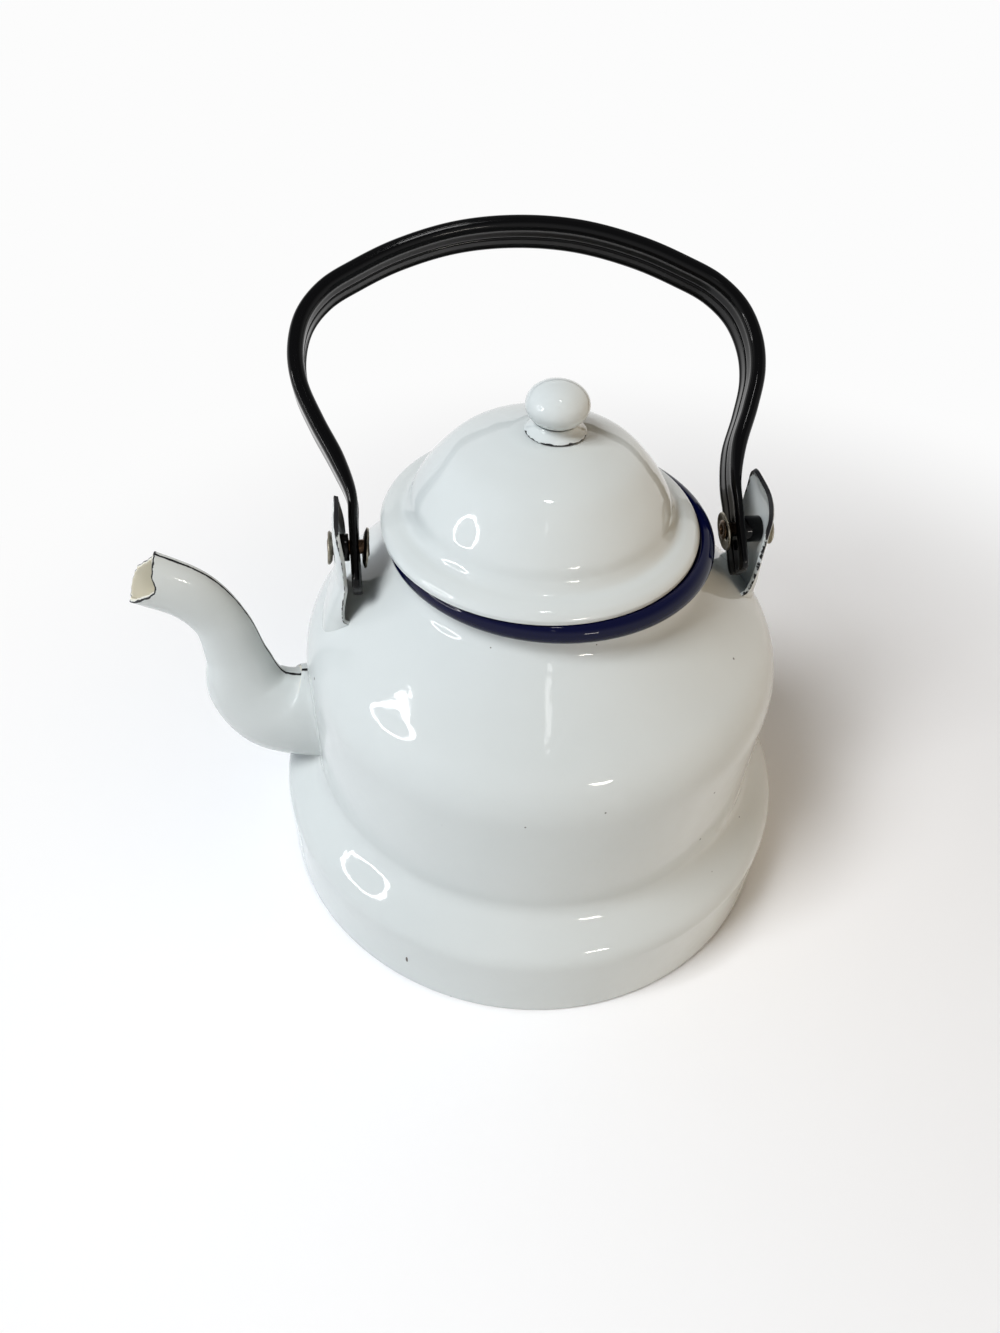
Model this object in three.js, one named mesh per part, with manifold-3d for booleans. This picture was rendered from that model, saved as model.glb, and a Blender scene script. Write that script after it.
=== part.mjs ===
// Enamelled tea kettle with a stepped base, a swan-neck spout, a swinging bail and a lift-off lid.
// Millimetres, +Z up. The origin is the middle of the base, on the table. The spout points to -X and
// the bail turns about a line along X, drawn leaning back towards +Y as it stands at rest.
import * as THREE from "three";
import { mergeVertices } from "three/addons/utils/BufferGeometryUtils.js";
import Module from "manifold-3d";

const wasm = await Module();
wasm.setup();

// Clearances, sheet and facets
const fit = 0.3; // between pieces that touch
const sheet = 1.2; // enamelled steel, both coats included
const overrun = 5; // how far a cutting tool reaches past what it cuts
const turnFacets = 48; // round the kettle
const smallFacets = 16; // round rivets, washers and spacers
const knobFacets = 24;
const arcSteps = 4; // along a bend of a profile
const beadSteps = 9; // round the ring's rolled edge
const ballSteps = 7; // from the knob's seat to its top
const weldDistance = 0.0001; // points nearer than this are one point

// Body
const drumRadius = 87;
const drumWallHeight = 21;
const drumShoulderTop = 47;
const waistRadius = 75;
const waistTop = 80.8;
const shoulderRound = 25;
const neckRadius = 44.6;
const neckHollow = 7; // radius of the hollow bend where the shoulder turns up into the neck
const neckLength = 1.3; // straight part above that bend
const shoulderSlope = THREE.MathUtils.degToRad(41);
const bodyFootGap = 0.5; // the shell's lower edge stands clear of the table

// Base pan
const panFlange = 9;
const panCorner = 5;

// Ring round the mouth
const ringBead = 3.1; // radius of the rolled edge
const ringOutset = 0.3; // from the neck's outer face to the middle of the bead
const ringRadius = neckRadius + ringOutset;
const ringSleeveDepth = 12;

// Lid
const lidOverhang = 1.1; // past the middle of the ring's bead
const lidRadius = ringRadius + lidOverhang;
const lidHeight = 29; // rim to crown
const collarPlay = 3.9; // between the collar and the ring's sleeve, all round
const collarRadius = neckRadius - 2 * sheet - fit - collarPlay;
const collarGap = 0.6; // what is left of that play on the spout's side, where the lid has slid to
const lidShift = collarPlay - collarGap;
const collarDepth = 11; // below the lid's rim
const crownRadius = 9.5; // flat top under the knob
const lidSteps = 13; // along its outline

// Knob
const knobRadius = 8.7;
const knobHalfHeight = 6.1;
const knobFootRadius = 7.6;
const knobFootHeight = 2.8;
const knobShift = 2.3; // its seat lies off the lid's middle, away from the spout
const knobRivetRadius = 2;
const knobRivetReach = 6; // into the ball
const knobWasherRadius = 6;

// Spout
const spoutRootRadius = 19.4; // half the height of its oval
const spoutTipRadius = 9.4;
const spoutOval = 0.58; // the tube's width over its height
const spoutReach = 119; // from the kettle's axis to the middle of the mouth
const spoutRootInset = 15; // the tube starts this far inside the waist's face
const spoutRootReach = waistRadius - spoutRootInset;
const spoutRootHeight = 55.3;
const spoutRise = 61.8;
const spoutSeam = 0.3; // between the two stamped halves
const spoutFacets = 7; // round one half
const spoutStations = 20;

// Ears and bail pivot
const pivotDrop = 3.5; // from the middle of the ring's bead down to the pivot
const pivotOutset = 12.1; // from the middle of the bead out to the middle of the strap
const pivotReach = ringRadius + pivotOutset;
const spoutSpacerLength = 2.8;
const backSpacerLength = 5.85; // the ear on this side is bent further out
const spoutEarLean = 1.5; // its top stands further in by this
const backEarLean = 5;
const earHalfWidth = 10.8;
const earSideShift = 1.6; // each ear is welded this far to one side of its pivot
const earRise = 16.8; // from the pivot to its top
const earDrop = 33; // from the pivot to its foot, inside the shoulder's outline
const earEdgeDrop = 19; // from the pivot to where its edges reach the shoulder
const spoutEarInset = 5; // its foot stands this far inside the waist's face
const backEarInset = 7.2;
const earFlat = 6.5; // the ear is flat this far above and below the pivot
const earDish = 6.8; // how far its edges curve in at the foot
const earPivotDish = 2.4; // and at the pivot
const earColumns = 8;
const earRows = 5; // below its flat part
const earTopRows = 3; // above it
const earRoundSteps = 9; // round its top

// Bail
const bailHeight = 95.1; // pivot to the middle of the strap at its top
const bailHalfSpan = 69.2;
const bailSway = 2.6; // the arch is bent this far towards the spout at its top
const bailTail = 13.5; // below the pivot
const bailTailRound = 3.5;
const bailLegHeight = 14; // straight part above the pivot
const strapWidth = 13.6;
const strapThickness = 4.8;
const strapLegThickness = 2.7;
const strapGroove = 2.4; // the open seam along the inner face
const strapGrooveDepth = 1;
const bailLean = THREE.MathUtils.degToRad(50);
const bailStations = 36;

// Pivot hardware
const rivetRadius = 2.1;
const rivetHeadRadius = 3;
const rivetHeadHeight = 0.4;
const rivetRecessRadius = 1.5; // the rivet is hollow at its ends
const rivetRecessDepth = 2.5;
const outerWasherRadius = 5;
const outerWasherThickness = 0.8;
const spacerRadius = 4;
const innerWasherRadius = 6;
const innerWasherThickness = 0.7;
const innerWasherDish = 0.7;
const innerWasherLean = THREE.MathUtils.degToRad(8); // it hangs askew, its top away from the strap
const innerWasherStandoff = 1; // bare shank between strap and washer
const innerWasherPlay = 0.7; // between washer and head, and round the shank
const innerWasherDrop = innerWasherPlay - fit; // it hangs on its shank

// Colours
const enamelWhite = { color: 0xe9ebe8, roughness: 0.16, metalness: 0 };
const enamelBlue = { color: 0x10123f, roughness: 0.14, metalness: 0 };
const enamelBlack = { color: 0x0b0b0d, roughness: 0.22, metalness: 0 };
const agedSteel = { color: 0x8b8578, roughness: 0.38, metalness: 1 };
const copperShank = { color: 0x9a6a4a, roughness: 0.35, metalness: 1 };

// Solids from meshes, and back

function toSolid(geometry) {
  const bare = geometry.index ? geometry.toNonIndexed() : geometry.clone();
  const points = new THREE.BufferGeometry().setAttribute("position", bare.getAttribute("position"));
  const merged = mergeVertices(points, weldDistance);
  return new wasm.Manifold(
    new wasm.Mesh({
      numProp: 3,
      vertProperties: new Float32Array(merged.attributes.position.array),
      triVerts: new Uint32Array(merged.index.array),
    }),
  );
}

function toGeometry(solid) {
  const { numProp, vertProperties, triVerts } = solid.getMesh();
  const positions = new Float32Array((vertProperties.length / numProp) * 3);
  for (let i = 0; i < positions.length / 3; i++) {
    positions.set(vertProperties.subarray(i * numProp, i * numProp + 3), i * 3);
  }
  const geometry = new THREE.BufferGeometry();
  geometry.setAttribute("position", new THREE.BufferAttribute(positions, 3));
  geometry.setIndex(new THREE.BufferAttribute(new Uint32Array(triVerts), 1));
  geometry.computeVertexNormals();
  return geometry;
}

function cut(geometry, ...tools) {
  return toGeometry(tools.reduce((solid, tool) => solid.subtract(toSolid(tool)), toSolid(geometry)));
}

function keep(geometry, tool) {
  return toGeometry(toSolid(geometry).intersect(toSolid(tool)));
}

function piece(name, geometry, look) {
  const mesh = new THREE.Mesh(geometry, new THREE.MeshStandardMaterial(look));
  mesh.name = name;
  return mesh;
}

// Profiles and turned pieces

const at = (x, y) => new THREE.Vector2(x, y);

// Points of an arc about a centre, from one angle to another.
function arc(centre, radius, from, to, steps = arcSteps) {
  return Array.from({ length: steps + 1 }, (_, i) => {
    const angle = from + ((to - from) * i) / steps;
    return at(centre.x + radius * Math.cos(angle), centre.y + radius * Math.sin(angle));
  });
}

const sharpCornerShare = 0.5; // least share of a corner's width that an offset keeps

// The outline moved sideways by a distance, to the left of its direction where that is positive.
function offsetOutline(points, distance) {
  return points.map((point, i) => {
    const before = points[Math.max(i - 1, 0)];
    const after = points[Math.min(i + 1, points.length - 1)];
    const into = point.clone().sub(before).normalize();
    const out = after.clone().sub(point).normalize();
    const along = into.clone().add(out).normalize();
    const straightness = Math.max(along.dot(i > 0 ? into : out), sharpCornerShare);
    return at(
      point.x - (along.y * distance) / straightness,
      point.y + (along.x * distance) / straightness,
    );
  });
}

// A sheet of even thickness: the outline, closed by itself moved to its left.
function sheetOutline(points, thickness) {
  return [...points, ...offsetOutline(points, thickness).reverse()];
}

// A profile of radius and height, turned about the Z axis.
function turned(profile, facets = turnFacets) {
  const closed = profile[0].x === 0 ? profile : [...profile, profile[0].clone()];
  const area = THREE.ShapeUtils.area(profile);
  const ordered = area > 0 ? closed : [...closed].reverse();
  return new THREE.LatheGeometry(ordered, facets).rotateX(Math.PI / 2);
}

// A ring or disc whose axis lies along X; the profile's height runs towards +X.
function turnedAlongX(profile, facets = smallFacets) {
  return turned(profile, facets).rotateY(Math.PI / 2);
}

function plainDisc(radius, length) {
  return [at(0, 0), at(radius, 0), at(radius, length), at(0, length)];
}

function plainRing(inner, outer, length) {
  return [at(inner, 0), at(outer, 0), at(outer, length), at(inner, length)];
}

// A solid through a row of closed sections with the same number of points.
function loft(sections) {
  const count = sections[0].length;
  const cap = THREE.ShapeUtils.triangulateShape(flattened(sections[0]), []);
  const indices = [];
  for (let s = 0; s < sections.length - 1; s++) {
    for (let i = 0; i < count; i++) {
      const j = (i + 1) % count;
      const [a, b, c, d] = [s * count + i, s * count + j, (s + 1) * count + j, (s + 1) * count + i];
      indices.push(a, b, c, a, c, d);
    }
  }
  const last = (sections.length - 1) * count;
  for (const [a, b, c] of cap) {
    indices.push(c, b, a, last + a, last + b, last + c);
  }
  const geometry = new THREE.BufferGeometry();
  geometry.setAttribute("position", new THREE.Float32BufferAttribute(
    sections.flat().flatMap((p) => [p.x, p.y, p.z]), 3));
  geometry.setIndex(indices);
  return outward(geometry);
}

// The section's own plane coordinates, for closing the ends.
function flattened(section) {
  const [a, b] = [section[0], section[1]];
  const across = b.clone().sub(a).normalize();
  const normal = new THREE.Vector3();
  for (let i = 1; i < section.length - 1; i++) {
    const edges = [section[i].clone().sub(a), section[i + 1].clone().sub(a)];
    normal.add(edges[0].cross(edges[1]));
  }
  const up = normal.normalize().clone().cross(across);
  return section.map((p) => {
    const q = p.clone().sub(a);
    return at(q.dot(across), q.dot(up));
  });
}

// Turns a closed mesh's faces outward.
function outward(geometry) {
  const p = geometry.getAttribute("position");
  const index = geometry.index.array;
  const [a, b, c] = [new THREE.Vector3(), new THREE.Vector3(), new THREE.Vector3()];
  let volume = 0;
  for (let i = 0; i < index.length; i += 3) {
    a.fromBufferAttribute(p, index[i]);
    b.fromBufferAttribute(p, index[i + 1]);
    c.fromBufferAttribute(p, index[i + 2]);
    volume += a.dot(b.cross(c));
  }
  if (volume < 0) {
    for (let i = 0; i < index.length; i += 3) {
      [index[i + 1], index[i + 2]] = [index[i + 2], index[i + 1]];
    }
  }
  return geometry;
}

// Body of the kettle

const drumBendShares = [0.15, 0.4, 0.7, 0.9]; // of the rise from the drum's wall to the waist

// The shoulder's round, its straight slope and the hollow bend up to the neck.
function shoulderOutline() {
  const roundCentre = at(waistRadius - shoulderRound, waistTop);
  const roundEnd = Math.PI / 2 - shoulderSlope;
  const shoulder = arc(roundCentre, shoulderRound, 0, roundEnd);
  const hollowCentreX = neckRadius + neckHollow;
  const slopeStart = shoulder[shoulder.length - 1];
  const hollowStartX = hollowCentreX - neckHollow * Math.sin(shoulderSlope);
  const slopeRise = (slopeStart.x - hollowStartX) * Math.tan(shoulderSlope);
  const hollowRise = neckHollow * Math.cos(shoulderSlope);
  const hollowCentre = at(hollowCentreX, slopeStart.y + slopeRise + hollowRise);
  return [...shoulder, ...arc(hollowCentre, neckHollow, Math.PI + roundEnd, Math.PI)];
}

// Heights that the shoulder carries: the neck's edge, the ring's bead and the bail's pivot.
const neckHeight = shoulderOutline().at(-1).y + neckLength;
const ringHeight = neckHeight + fit + Math.sqrt(ringBead ** 2 - ringOutset ** 2);
const pivotHeight = ringHeight - pivotDrop;

// Outer side of the shell from its foot to its mouth.
function bodyOutline() {
  const step = drumRadius - waistRadius;
  const stepRise = drumShoulderTop - drumWallHeight;
  const drumBend = drumBendShares.map((share) => {
    const fall = (1 - Math.cos(share * Math.PI)) / 2;
    return at(drumRadius - step * fall, drumWallHeight + stepRise * share);
  });
  return [
    at(drumRadius, bodyFootGap),
    at(drumRadius, drumWallHeight),
    ...drumBend,
    at(waistRadius, drumShoulderTop),
    ...shoulderOutline(),
    at(neckRadius, neckHeight),
  ];
}

// The body as a solid lump grown by a clearance, for fitting what is welded to it.
function bodyLump(growth) {
  const skin = offsetOutline(bodyOutline(), -growth);
  return turned([at(0, bodyFootGap), ...skin, at(0, neckHeight)]);
}

function bodyShell() {
  const shell = turned(sheetOutline(bodyOutline(), sheet));
  return piece("body_shell", cut(shell, spoutBore()), enamelWhite);
}

function basePan() {
  const radius = drumRadius - sheet - fit;
  const corner = arc(at(radius - panCorner, panCorner), panCorner, -Math.PI / 2, 0);
  const outline = [at(0, 0), ...corner, at(radius, panFlange)];
  return piece("base_pan", turned(sheetOutline(outline, sheet)), enamelWhite);
}

// The bead is rolled outward over the neck's edge and runs down inside the neck as a sleeve.
function neckRing() {
  const sleeveOuter = neckRadius - sheet - fit;
  const sleeveInner = sleeveOuter - sheet;
  const foot = ringHeight - ringSleeveDepth;
  const lowerEnd = -Math.acos((sleeveOuter - ringRadius) / ringBead);
  const upperEnd = Math.acos((sleeveInner - ringRadius) / ringBead);
  const bead = arc(at(ringRadius, ringHeight), ringBead, lowerEnd, upperEnd, beadSteps);
  const profile = [at(sleeveInner, foot), at(sleeveOuter, foot), ...bead];
  return piece("neck_ring", turned(profile), enamelBlue);
}

// Spout

// The middle line of the tube as shares of its reach and rise from the root, and the share of its
// radius between the mouth's (0) and the root's (1).
const spoutPathShares = [
  [0, 0, 1],
  [0.305, 0.011, 0.98],
  [0.458, 0.062, 0.84],
  [0.58, 0.213, 0.44],
  [0.617, 0.451, 0.02],
  [0.661, 0.68, -0.1],
  [0.776, 0.855, -0.04],
  [0.975, 0.975, 0],
  [1.1, 1.04, 0],
];
const spoutWallShare = 0.26; // of the path: past the shell's wall
const spoutMouthShare = 0.885; // of the path: at the middle of the mouth

// The mouth's edge from its top to its lip: shares of the tip's radius, along the tube and across it.
// The front half is cut back further than the back half.
const mouthEdgeShares = [[-0.06, 1], [-0.2, 0.5], [-0.46, 0.1], [-0.32, -0.3], [-0.1, -0.65], [0.03, -1]];
const backMouthShares = [[-0.06, 1], [-0.16, 0.65], [-0.02, 0.2], [0.15, -0.15], [0.16, -0.55], [0.03, -1]];
const boreShares = [0, 0.5, 1]; // where the bore's sections stand on its way through the wall

// Middle, direction, upward normal and radius of the tube at a share of its path.
function spoutStation(share) {
  const run = spoutReach - spoutRootReach;
  const path = new THREE.CatmullRomCurve3(
    spoutPathShares.map(([along, up]) => new THREE.Vector3(
      -spoutRootReach - run * along, 0, spoutRootHeight + spoutRise * up)),
    false, "centripetal");
  const step = share * (spoutPathShares.length - 1);
  const i = Math.min(Math.floor(step), spoutPathShares.length - 2);
  const girth = THREE.MathUtils.lerp(spoutPathShares[i][2], spoutPathShares[i + 1][2], step - i);
  const along = path.getTangent(share);
  return {
    centre: path.getPoint(share),
    along,
    up: new THREE.Vector3(along.z, 0, -along.x),
    radius: THREE.MathUtils.lerp(spoutTipRadius, spoutRootRadius, girth),
  };
}

// A point at a depth under the tube's surface; the angle starts at the side and turns upward.
function tubePoint({ centre, up, radius }, depth, angle, sideShift) {
  return new THREE.Vector3(0, sideShift + (spoutOval * radius - depth) * Math.cos(angle), 0)
    .addScaledVector(up, (radius - depth) * Math.sin(angle))
    .add(centre);
}

// One stamped half, on the side of y that the sign gives.
function spoutHalf(name, side) {
  const shares = Array.from({ length: spoutStations + 1 }, (_, i) => i / spoutStations);
  const angles = Array.from({ length: spoutFacets + 1 }, (_, i) => (
    (Math.PI * i) / spoutFacets - Math.PI / 2));
  const sections = shares.map((share) => {
    const station = spoutStation(share);
    const onSide = (depth, angle) => {
      const point = tubePoint(station, depth, angle, spoutSeam / 2);
      point.y *= side;
      return point;
    };
    const outer = angles.map((angle) => onSide(0, angle));
    const inner = angles.map((angle) => onSide(sheet, angle)).reverse();
    return [...outer, ...inner];
  });
  const edge = side < 0 ? mouthEdgeShares : backMouthShares;
  return piece(name, cut(loft(sections), bodyLump(fit), mouthTool(edge)), enamelWhite);
}

// What is cut off the tube past its mouth: the lip stands forward and the sides are cut back.
function mouthTool(edgeShares) {
  const { centre, along, up } = spoutStation(spoutMouthShare);
  const side = spoutTipRadius + overrun;
  const edge = edgeShares.map(([a, u]) => at(a * spoutTipRadius, u * spoutTipRadius));
  const [first, last] = [edge[0], edge[edge.length - 1]];
  const far = 4 * spoutTipRadius;
  const outline = new THREE.Shape([
    at(first.x, side), ...edge, at(last.x, -side), at(far, -side), at(far, side),
  ]);
  const tool = new THREE.ExtrudeGeometry(outline, { depth: 2 * side, bevelEnabled: false });
  const frame = new THREE.Matrix4().makeBasis(along, up, along.clone().cross(up));
  return tool.translate(0, 0, -side).applyMatrix4(frame.setPosition(centre));
}

// The way through the shell's wall into the spout.
function spoutBore() {
  const turns = Array.from({ length: 2 * spoutFacets }, (_, i) => (Math.PI * i) / spoutFacets);
  const sections = boreShares.map((part) => {
    const station = spoutStation(part * spoutWallShare);
    return turns.map((angle) => tubePoint(station, sheet, angle, 0));
  });
  return loft(sections);
}

// Ears

const earFlarePower = 1.3; // how the foot's flare grows downward
const earDishPower = 4; // how the dish grows towards the edges
const earLeanPower = 2.2; // how the top's lean grows upward
const earRisePower = 0.35; // how the dish shrinks upward

// How far out the middle of an ear's outer face stands at a height above the pivot.
function earOuter(height, { reach, lean, footReach }) {
  if (height < -earFlat) {
    const share = (height + earFlat) / (earFlat - earDrop);
    return reach + (footReach - reach) * (1 - (1 - share) ** earFlarePower);
  }
  const share = Math.max(height - earFlat, 0) / (earRise - earFlat);
  return reach - lean * share ** earLeanPower;
}

// How much further in its edges stand than its middle.
function earDishAt(height) {
  const share = (height + earEdgeDrop) / (earEdgeDrop - earFlat);
  const rise = THREE.MathUtils.clamp(share, 0, 1) ** earRisePower;
  return THREE.MathUtils.lerp(earDish, earPivotDish, rise);
}

// A dished sheet lug that stands on the shoulder, drawn with its outer side towards +X.
function ear(name, bend) {
  const half = earHalfWidth + sheet;
  const across = Array.from({ length: earColumns + 1 }, (_, i) => (
    THREE.MathUtils.lerp(-half, half, i / earColumns)));
  const flare = Array.from({ length: earRows }, (_, i) => (
    THREE.MathUtils.lerp(-earDrop, -earFlat, i / earRows)));
  const top = Array.from({ length: earTopRows }, (_, i) => (
    THREE.MathUtils.lerp(earFlat, earRise + sheet, (i + 1) / earTopRows)));
  const heights = [...flare, -earFlat, earFlat, ...top];
  const sections = heights.map((height) => {
    const inwardAt = (y) => earDishAt(height) * (y / earHalfWidth) ** earDishPower;
    const face = (inward) => across.map((y) => (
      new THREE.Vector3(earOuter(height, bend) - inward - inwardAt(y), y, height)));
    return [...face(0), ...face(sheet).reverse()];
  });
  const round = new THREE.Shape();
  round.moveTo(-earHalfWidth, -earDrop - overrun);
  round.lineTo(earHalfWidth, -earDrop - overrun);
  round.lineTo(earHalfWidth, 0);
  round.absellipse(0, 0, earHalfWidth, earRise, 0, Math.PI, false);
  const outline = new THREE.ExtrudeGeometry(round, {
    depth: 2 * bend.reach, bevelEnabled: false, curveSegments: earRoundSteps,
  });
  outline.rotateX(Math.PI / 2).rotateZ(Math.PI / 2);
  const trimmed = keep(loft(sections), outline).translate(0, earSideShift, pivotHeight);
  const bore = turnedAlongX(plainDisc(rivetRadius + fit, 2 * bend.reach));
  const hole = bore.translate(0, 0, pivotHeight);
  return piece(name, cut(trimmed, bodyLump(fit), hole), enamelWhite);
}

// Pivot hardware, drawn on the side towards +X

const washerFlatShare = 0.62; // of the washer's radius
const washerBendShares = [0.82, 0.4]; // of its radius and of its dish
const headCrownShare = 0.75; // of a rivet head's radius
const headRimShare = 0.4; // of its height
const strapOuterFace = pivotReach + strapLegThickness / 2;
const strapInnerFace = pivotReach - strapLegThickness / 2;
const spacerSeat = strapOuterFace + fit;
const innerSeat = strapInnerFace - innerWasherStandoff - innerWasherThickness - innerWasherPlay;

function outerWasher(name, reach) {
  const ring = plainRing(rivetRadius + fit, outerWasherRadius, outerWasherThickness);
  return piece(name, turnedAlongX(ring).translate(reach + fit, 0, pivotHeight), agedSteel);
}

function spacer(name, length) {
  const ring = plainRing(rivetRadius + fit, spacerRadius, length);
  return piece(name, turnedAlongX(ring).translate(spacerSeat, 0, pivotHeight), enamelBlack);
}

// A cupped washer, its rim turned away from the strap, loose on its rivet.
function innerWasher(name) {
  const [bendOut, bendUp] = washerBendShares;
  const outline = [
    at(rivetRadius + innerWasherPlay, 0),
    at(washerFlatShare * innerWasherRadius, 0),
    at(bendOut * innerWasherRadius, -bendUp * innerWasherDish),
    at(innerWasherRadius, -innerWasherDish),
  ];
  const geometry = turnedAlongX(sheetOutline(outline, -innerWasherThickness));
  const [seat, height] = [strapInnerFace - innerWasherStandoff, pivotHeight - innerWasherDrop];
  return piece(name, geometry.rotateY(-innerWasherLean).translate(seat, 0, height), agedSteel);
}

function rivet(name, reach) {
  const outerSeat = reach + fit + outerWasherThickness + fit;
  const crown = headCrownShare * rivetHeadRadius;
  const rim = headRimShare * rivetHeadHeight;
  const profile = [
    at(0, innerSeat + rivetRecessDepth),
    at(rivetRecessRadius, innerSeat + rivetRecessDepth),
    at(rivetRecessRadius, innerSeat - rivetHeadHeight),
    at(crown, innerSeat - rivetHeadHeight),
    at(rivetHeadRadius, innerSeat - rim),
    at(rivetHeadRadius, innerSeat),
    at(rivetRadius, innerSeat),
    at(rivetRadius, outerSeat),
    at(rivetHeadRadius, outerSeat),
    at(rivetHeadRadius, outerSeat + rim),
    at(crown, outerSeat + rivetHeadHeight),
    at(rivetRecessRadius, outerSeat + rivetHeadHeight),
    at(rivetRecessRadius, outerSeat - rivetRecessDepth),
    at(0, outerSeat - rivetRecessDepth),
  ];
  return piece(name, turnedAlongX(profile).translate(0, 0, pivotHeight), copperShank);
}

// One end of the pivot: the ear stands off the strap by its spacer.
function earSide(side, turn, spacerLength, lean, inset) {
  const reach = spacerSeat + spacerLength + fit + sheet;
  const group = new THREE.Group();
  group.add(
    ear(`ear_${side}`, { reach, lean, footReach: waistRadius - inset }),
    outerWasher(`outer_washer_${side}`, reach),
    spacer(`spacer_${side}`, spacerLength),
    innerWasher(`inner_washer_${side}`),
    rivet(`rivet_${side}`, reach),
  );
  group.rotation.z = turn;
  return group;
}

// Bail

// The strap's middle line above its straight legs: shares of the half span and of the height.
const bailShares = [
  [0.864, 0.26],
  [0.936, 0.383],
  [0.99, 0.5],
  [0.997, 0.606],
  [0.954, 0.713],
  [0.857, 0.798],
  [0.714, 0.862],
  [0.529, 0.926],
  [0.271, 0.982],
];

// The strap's section: shares of its thickness (outward) and of its width.
const strapShares = [[0.5, 0.3], [0.24, 0.5], [-0.24, 0.5], [-0.5, 0.36]];
const grooveFloorShare = 0.35; // half width of the groove's floor, of its width
const tailShares = [0, 0.13, 0.5, 1]; // of the tail's round, from its end

// Stations along the strap, from one tail to the other: middle, outward normal, width, thickness.
function bailPath() {
  const legTop = new THREE.Vector3(pivotReach, 0, bailLegHeight);
  const mirror = (p) => new THREE.Vector3(-p.x, 0, p.z);
  const legs = [new THREE.Vector3(pivotReach, 0, bailLegHeight / 2), legTop];
  const bend = (side) => bailShares.map(([x, z]) => (
    new THREE.Vector3(side * x * bailHalfSpan - z * bailSway, 0, z * bailHeight)));
  const crown = new THREE.Vector3(-bailSway, 0, bailHeight);
  const curve = new THREE.CatmullRomCurve3(
    [...legs, ...bend(1), crown, ...bend(-1).reverse(), ...legs.map(mirror).reverse()],
    false, "centripetal");
  const arch = Array.from({ length: bailStations + 1 }, (_, i) => ({
    middle: curve.getPoint(i / bailStations),
    along: curve.getTangent(i / bailStations),
    width: strapWidth,
  }));
  const tail = tailShares.map((share) => ({
    middle: new THREE.Vector3(pivotReach, 0, -bailTail + share * bailTailRound),
    along: new THREE.Vector3(0, 0, 1),
    width: strapWidth - 2 * bailTailRound * (1 - Math.sqrt(1 - (1 - share) ** 2)),
  }));
  const otherTail = tail.map(({ middle, width }) => ({
    middle: mirror(middle), along: new THREE.Vector3(0, 0, -1), width,
  }));
  return [...tail, ...arch, ...otherTail.reverse()];
}

function strapSection({ middle, along, width }) {
  const swell = THREE.MathUtils.smoothstep(middle.z, bailLegHeight / 2, 2 * bailLegHeight);
  const thickness = THREE.MathUtils.lerp(strapLegThickness, strapThickness, swell);
  const outwardNormal = new THREE.Vector3(along.z, 0, -along.x);
  const place = ([out, across]) => (
    new THREE.Vector3(0, across, 0).addScaledVector(outwardNormal, out).add(middle));
  const rim = strapShares.map(([out, across]) => [out * thickness, across * width]);
  const groove = [
    [-thickness / 2, strapGroove / 2],
    [strapGrooveDepth - thickness / 2, grooveFloorShare * strapGroove],
  ];
  const side = [...rim, ...groove];
  const otherSide = side.map(([out, across]) => [out, -across]).reverse();
  return [...side, ...otherSide].map(place);
}

function bail() {
  const strap = loft(bailPath().map(strapSection));
  const half = pivotReach + overrun;
  const hole = turnedAlongX(plainDisc(rivetRadius + fit, 2 * half)).translate(-half, 0, 0);
  const group = new THREE.Group();
  group.add(piece("bail", cut(strap, hole), enamelBlack));
  group.position.z = pivotHeight;
  group.rotation.x = -bailLean;
  return group;
}

// Lid

// From the crown's edge to the rim: shares of the lid's radius and height.
const lidShares = [
  [0.37, 0.93],
  [0.555, 0.8],
  [0.685, 0.6],
  [0.78, 0.39],
  [0.815, 0.25],
  [0.855, 0.165],
  [0.92, 0.135],
  [0.975, 0.095],
  [1, 0.04],
  [1, 0],
];

// Outer side of the lid from its middle to its rim.
function lidOutline() {
  const bend = lidShares.map(([x, y]) => at(x * lidRadius, y * lidHeight));
  const curve = new THREE.SplineCurve([at(crownRadius, lidHeight), ...bend]);
  return [at(0, lidHeight), ...curve.getPoints(lidSteps)];
}

// Height of an outline that falls as its radius grows.
function heightAt(outline, radius) {
  const i = outline.findIndex((p) => p.x > radius);
  const [before, after] = [outline[i - 1], outline[i]];
  return THREE.MathUtils.mapLinear(radius, before.x, after.x, before.y, after.y);
}

function lidShell() {
  const hole = plainDisc(knobRivetRadius + fit, 2 * lidHeight);
  const shell = turned(sheetOutline(lidOutline(), -sheet));
  return piece("lid_shell", cut(shell, turned(hole, smallFacets).translate(knobShift, 0, 0)), enamelWhite);
}

function lidCollar() {
  const top = heightAt(offsetOutline(lidOutline(), -sheet - fit), collarRadius);
  const wall = plainRing(collarRadius - sheet, collarRadius, top + collarDepth);
  return piece("lid_collar", turned(wall).translate(0, 0, -collarDepth), enamelWhite);
}

const knobFootShares = [[1, 0], [0.97, 0.25], [0.84, 0.6], [0.78, 1]]; // of its radius and height
const knobSeatShare = knobFootShares.at(-1)[0]; // of the foot's radius
const rivetHeadShare = 2; // of the rivet's radius
const rivetCrownShare = 0.7; // of its head's radius

function knobFoot() {
  const outline = knobFootShares.map(([x, y]) => at(x * knobFootRadius, y * knobFootHeight));
  const bore = knobRivetRadius + fit;
  const profile = [at(bore, 0), ...outline, at(bore, knobFootHeight)];
  return piece("knob_foot", turned(profile, knobFacets), enamelWhite);
}

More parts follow.
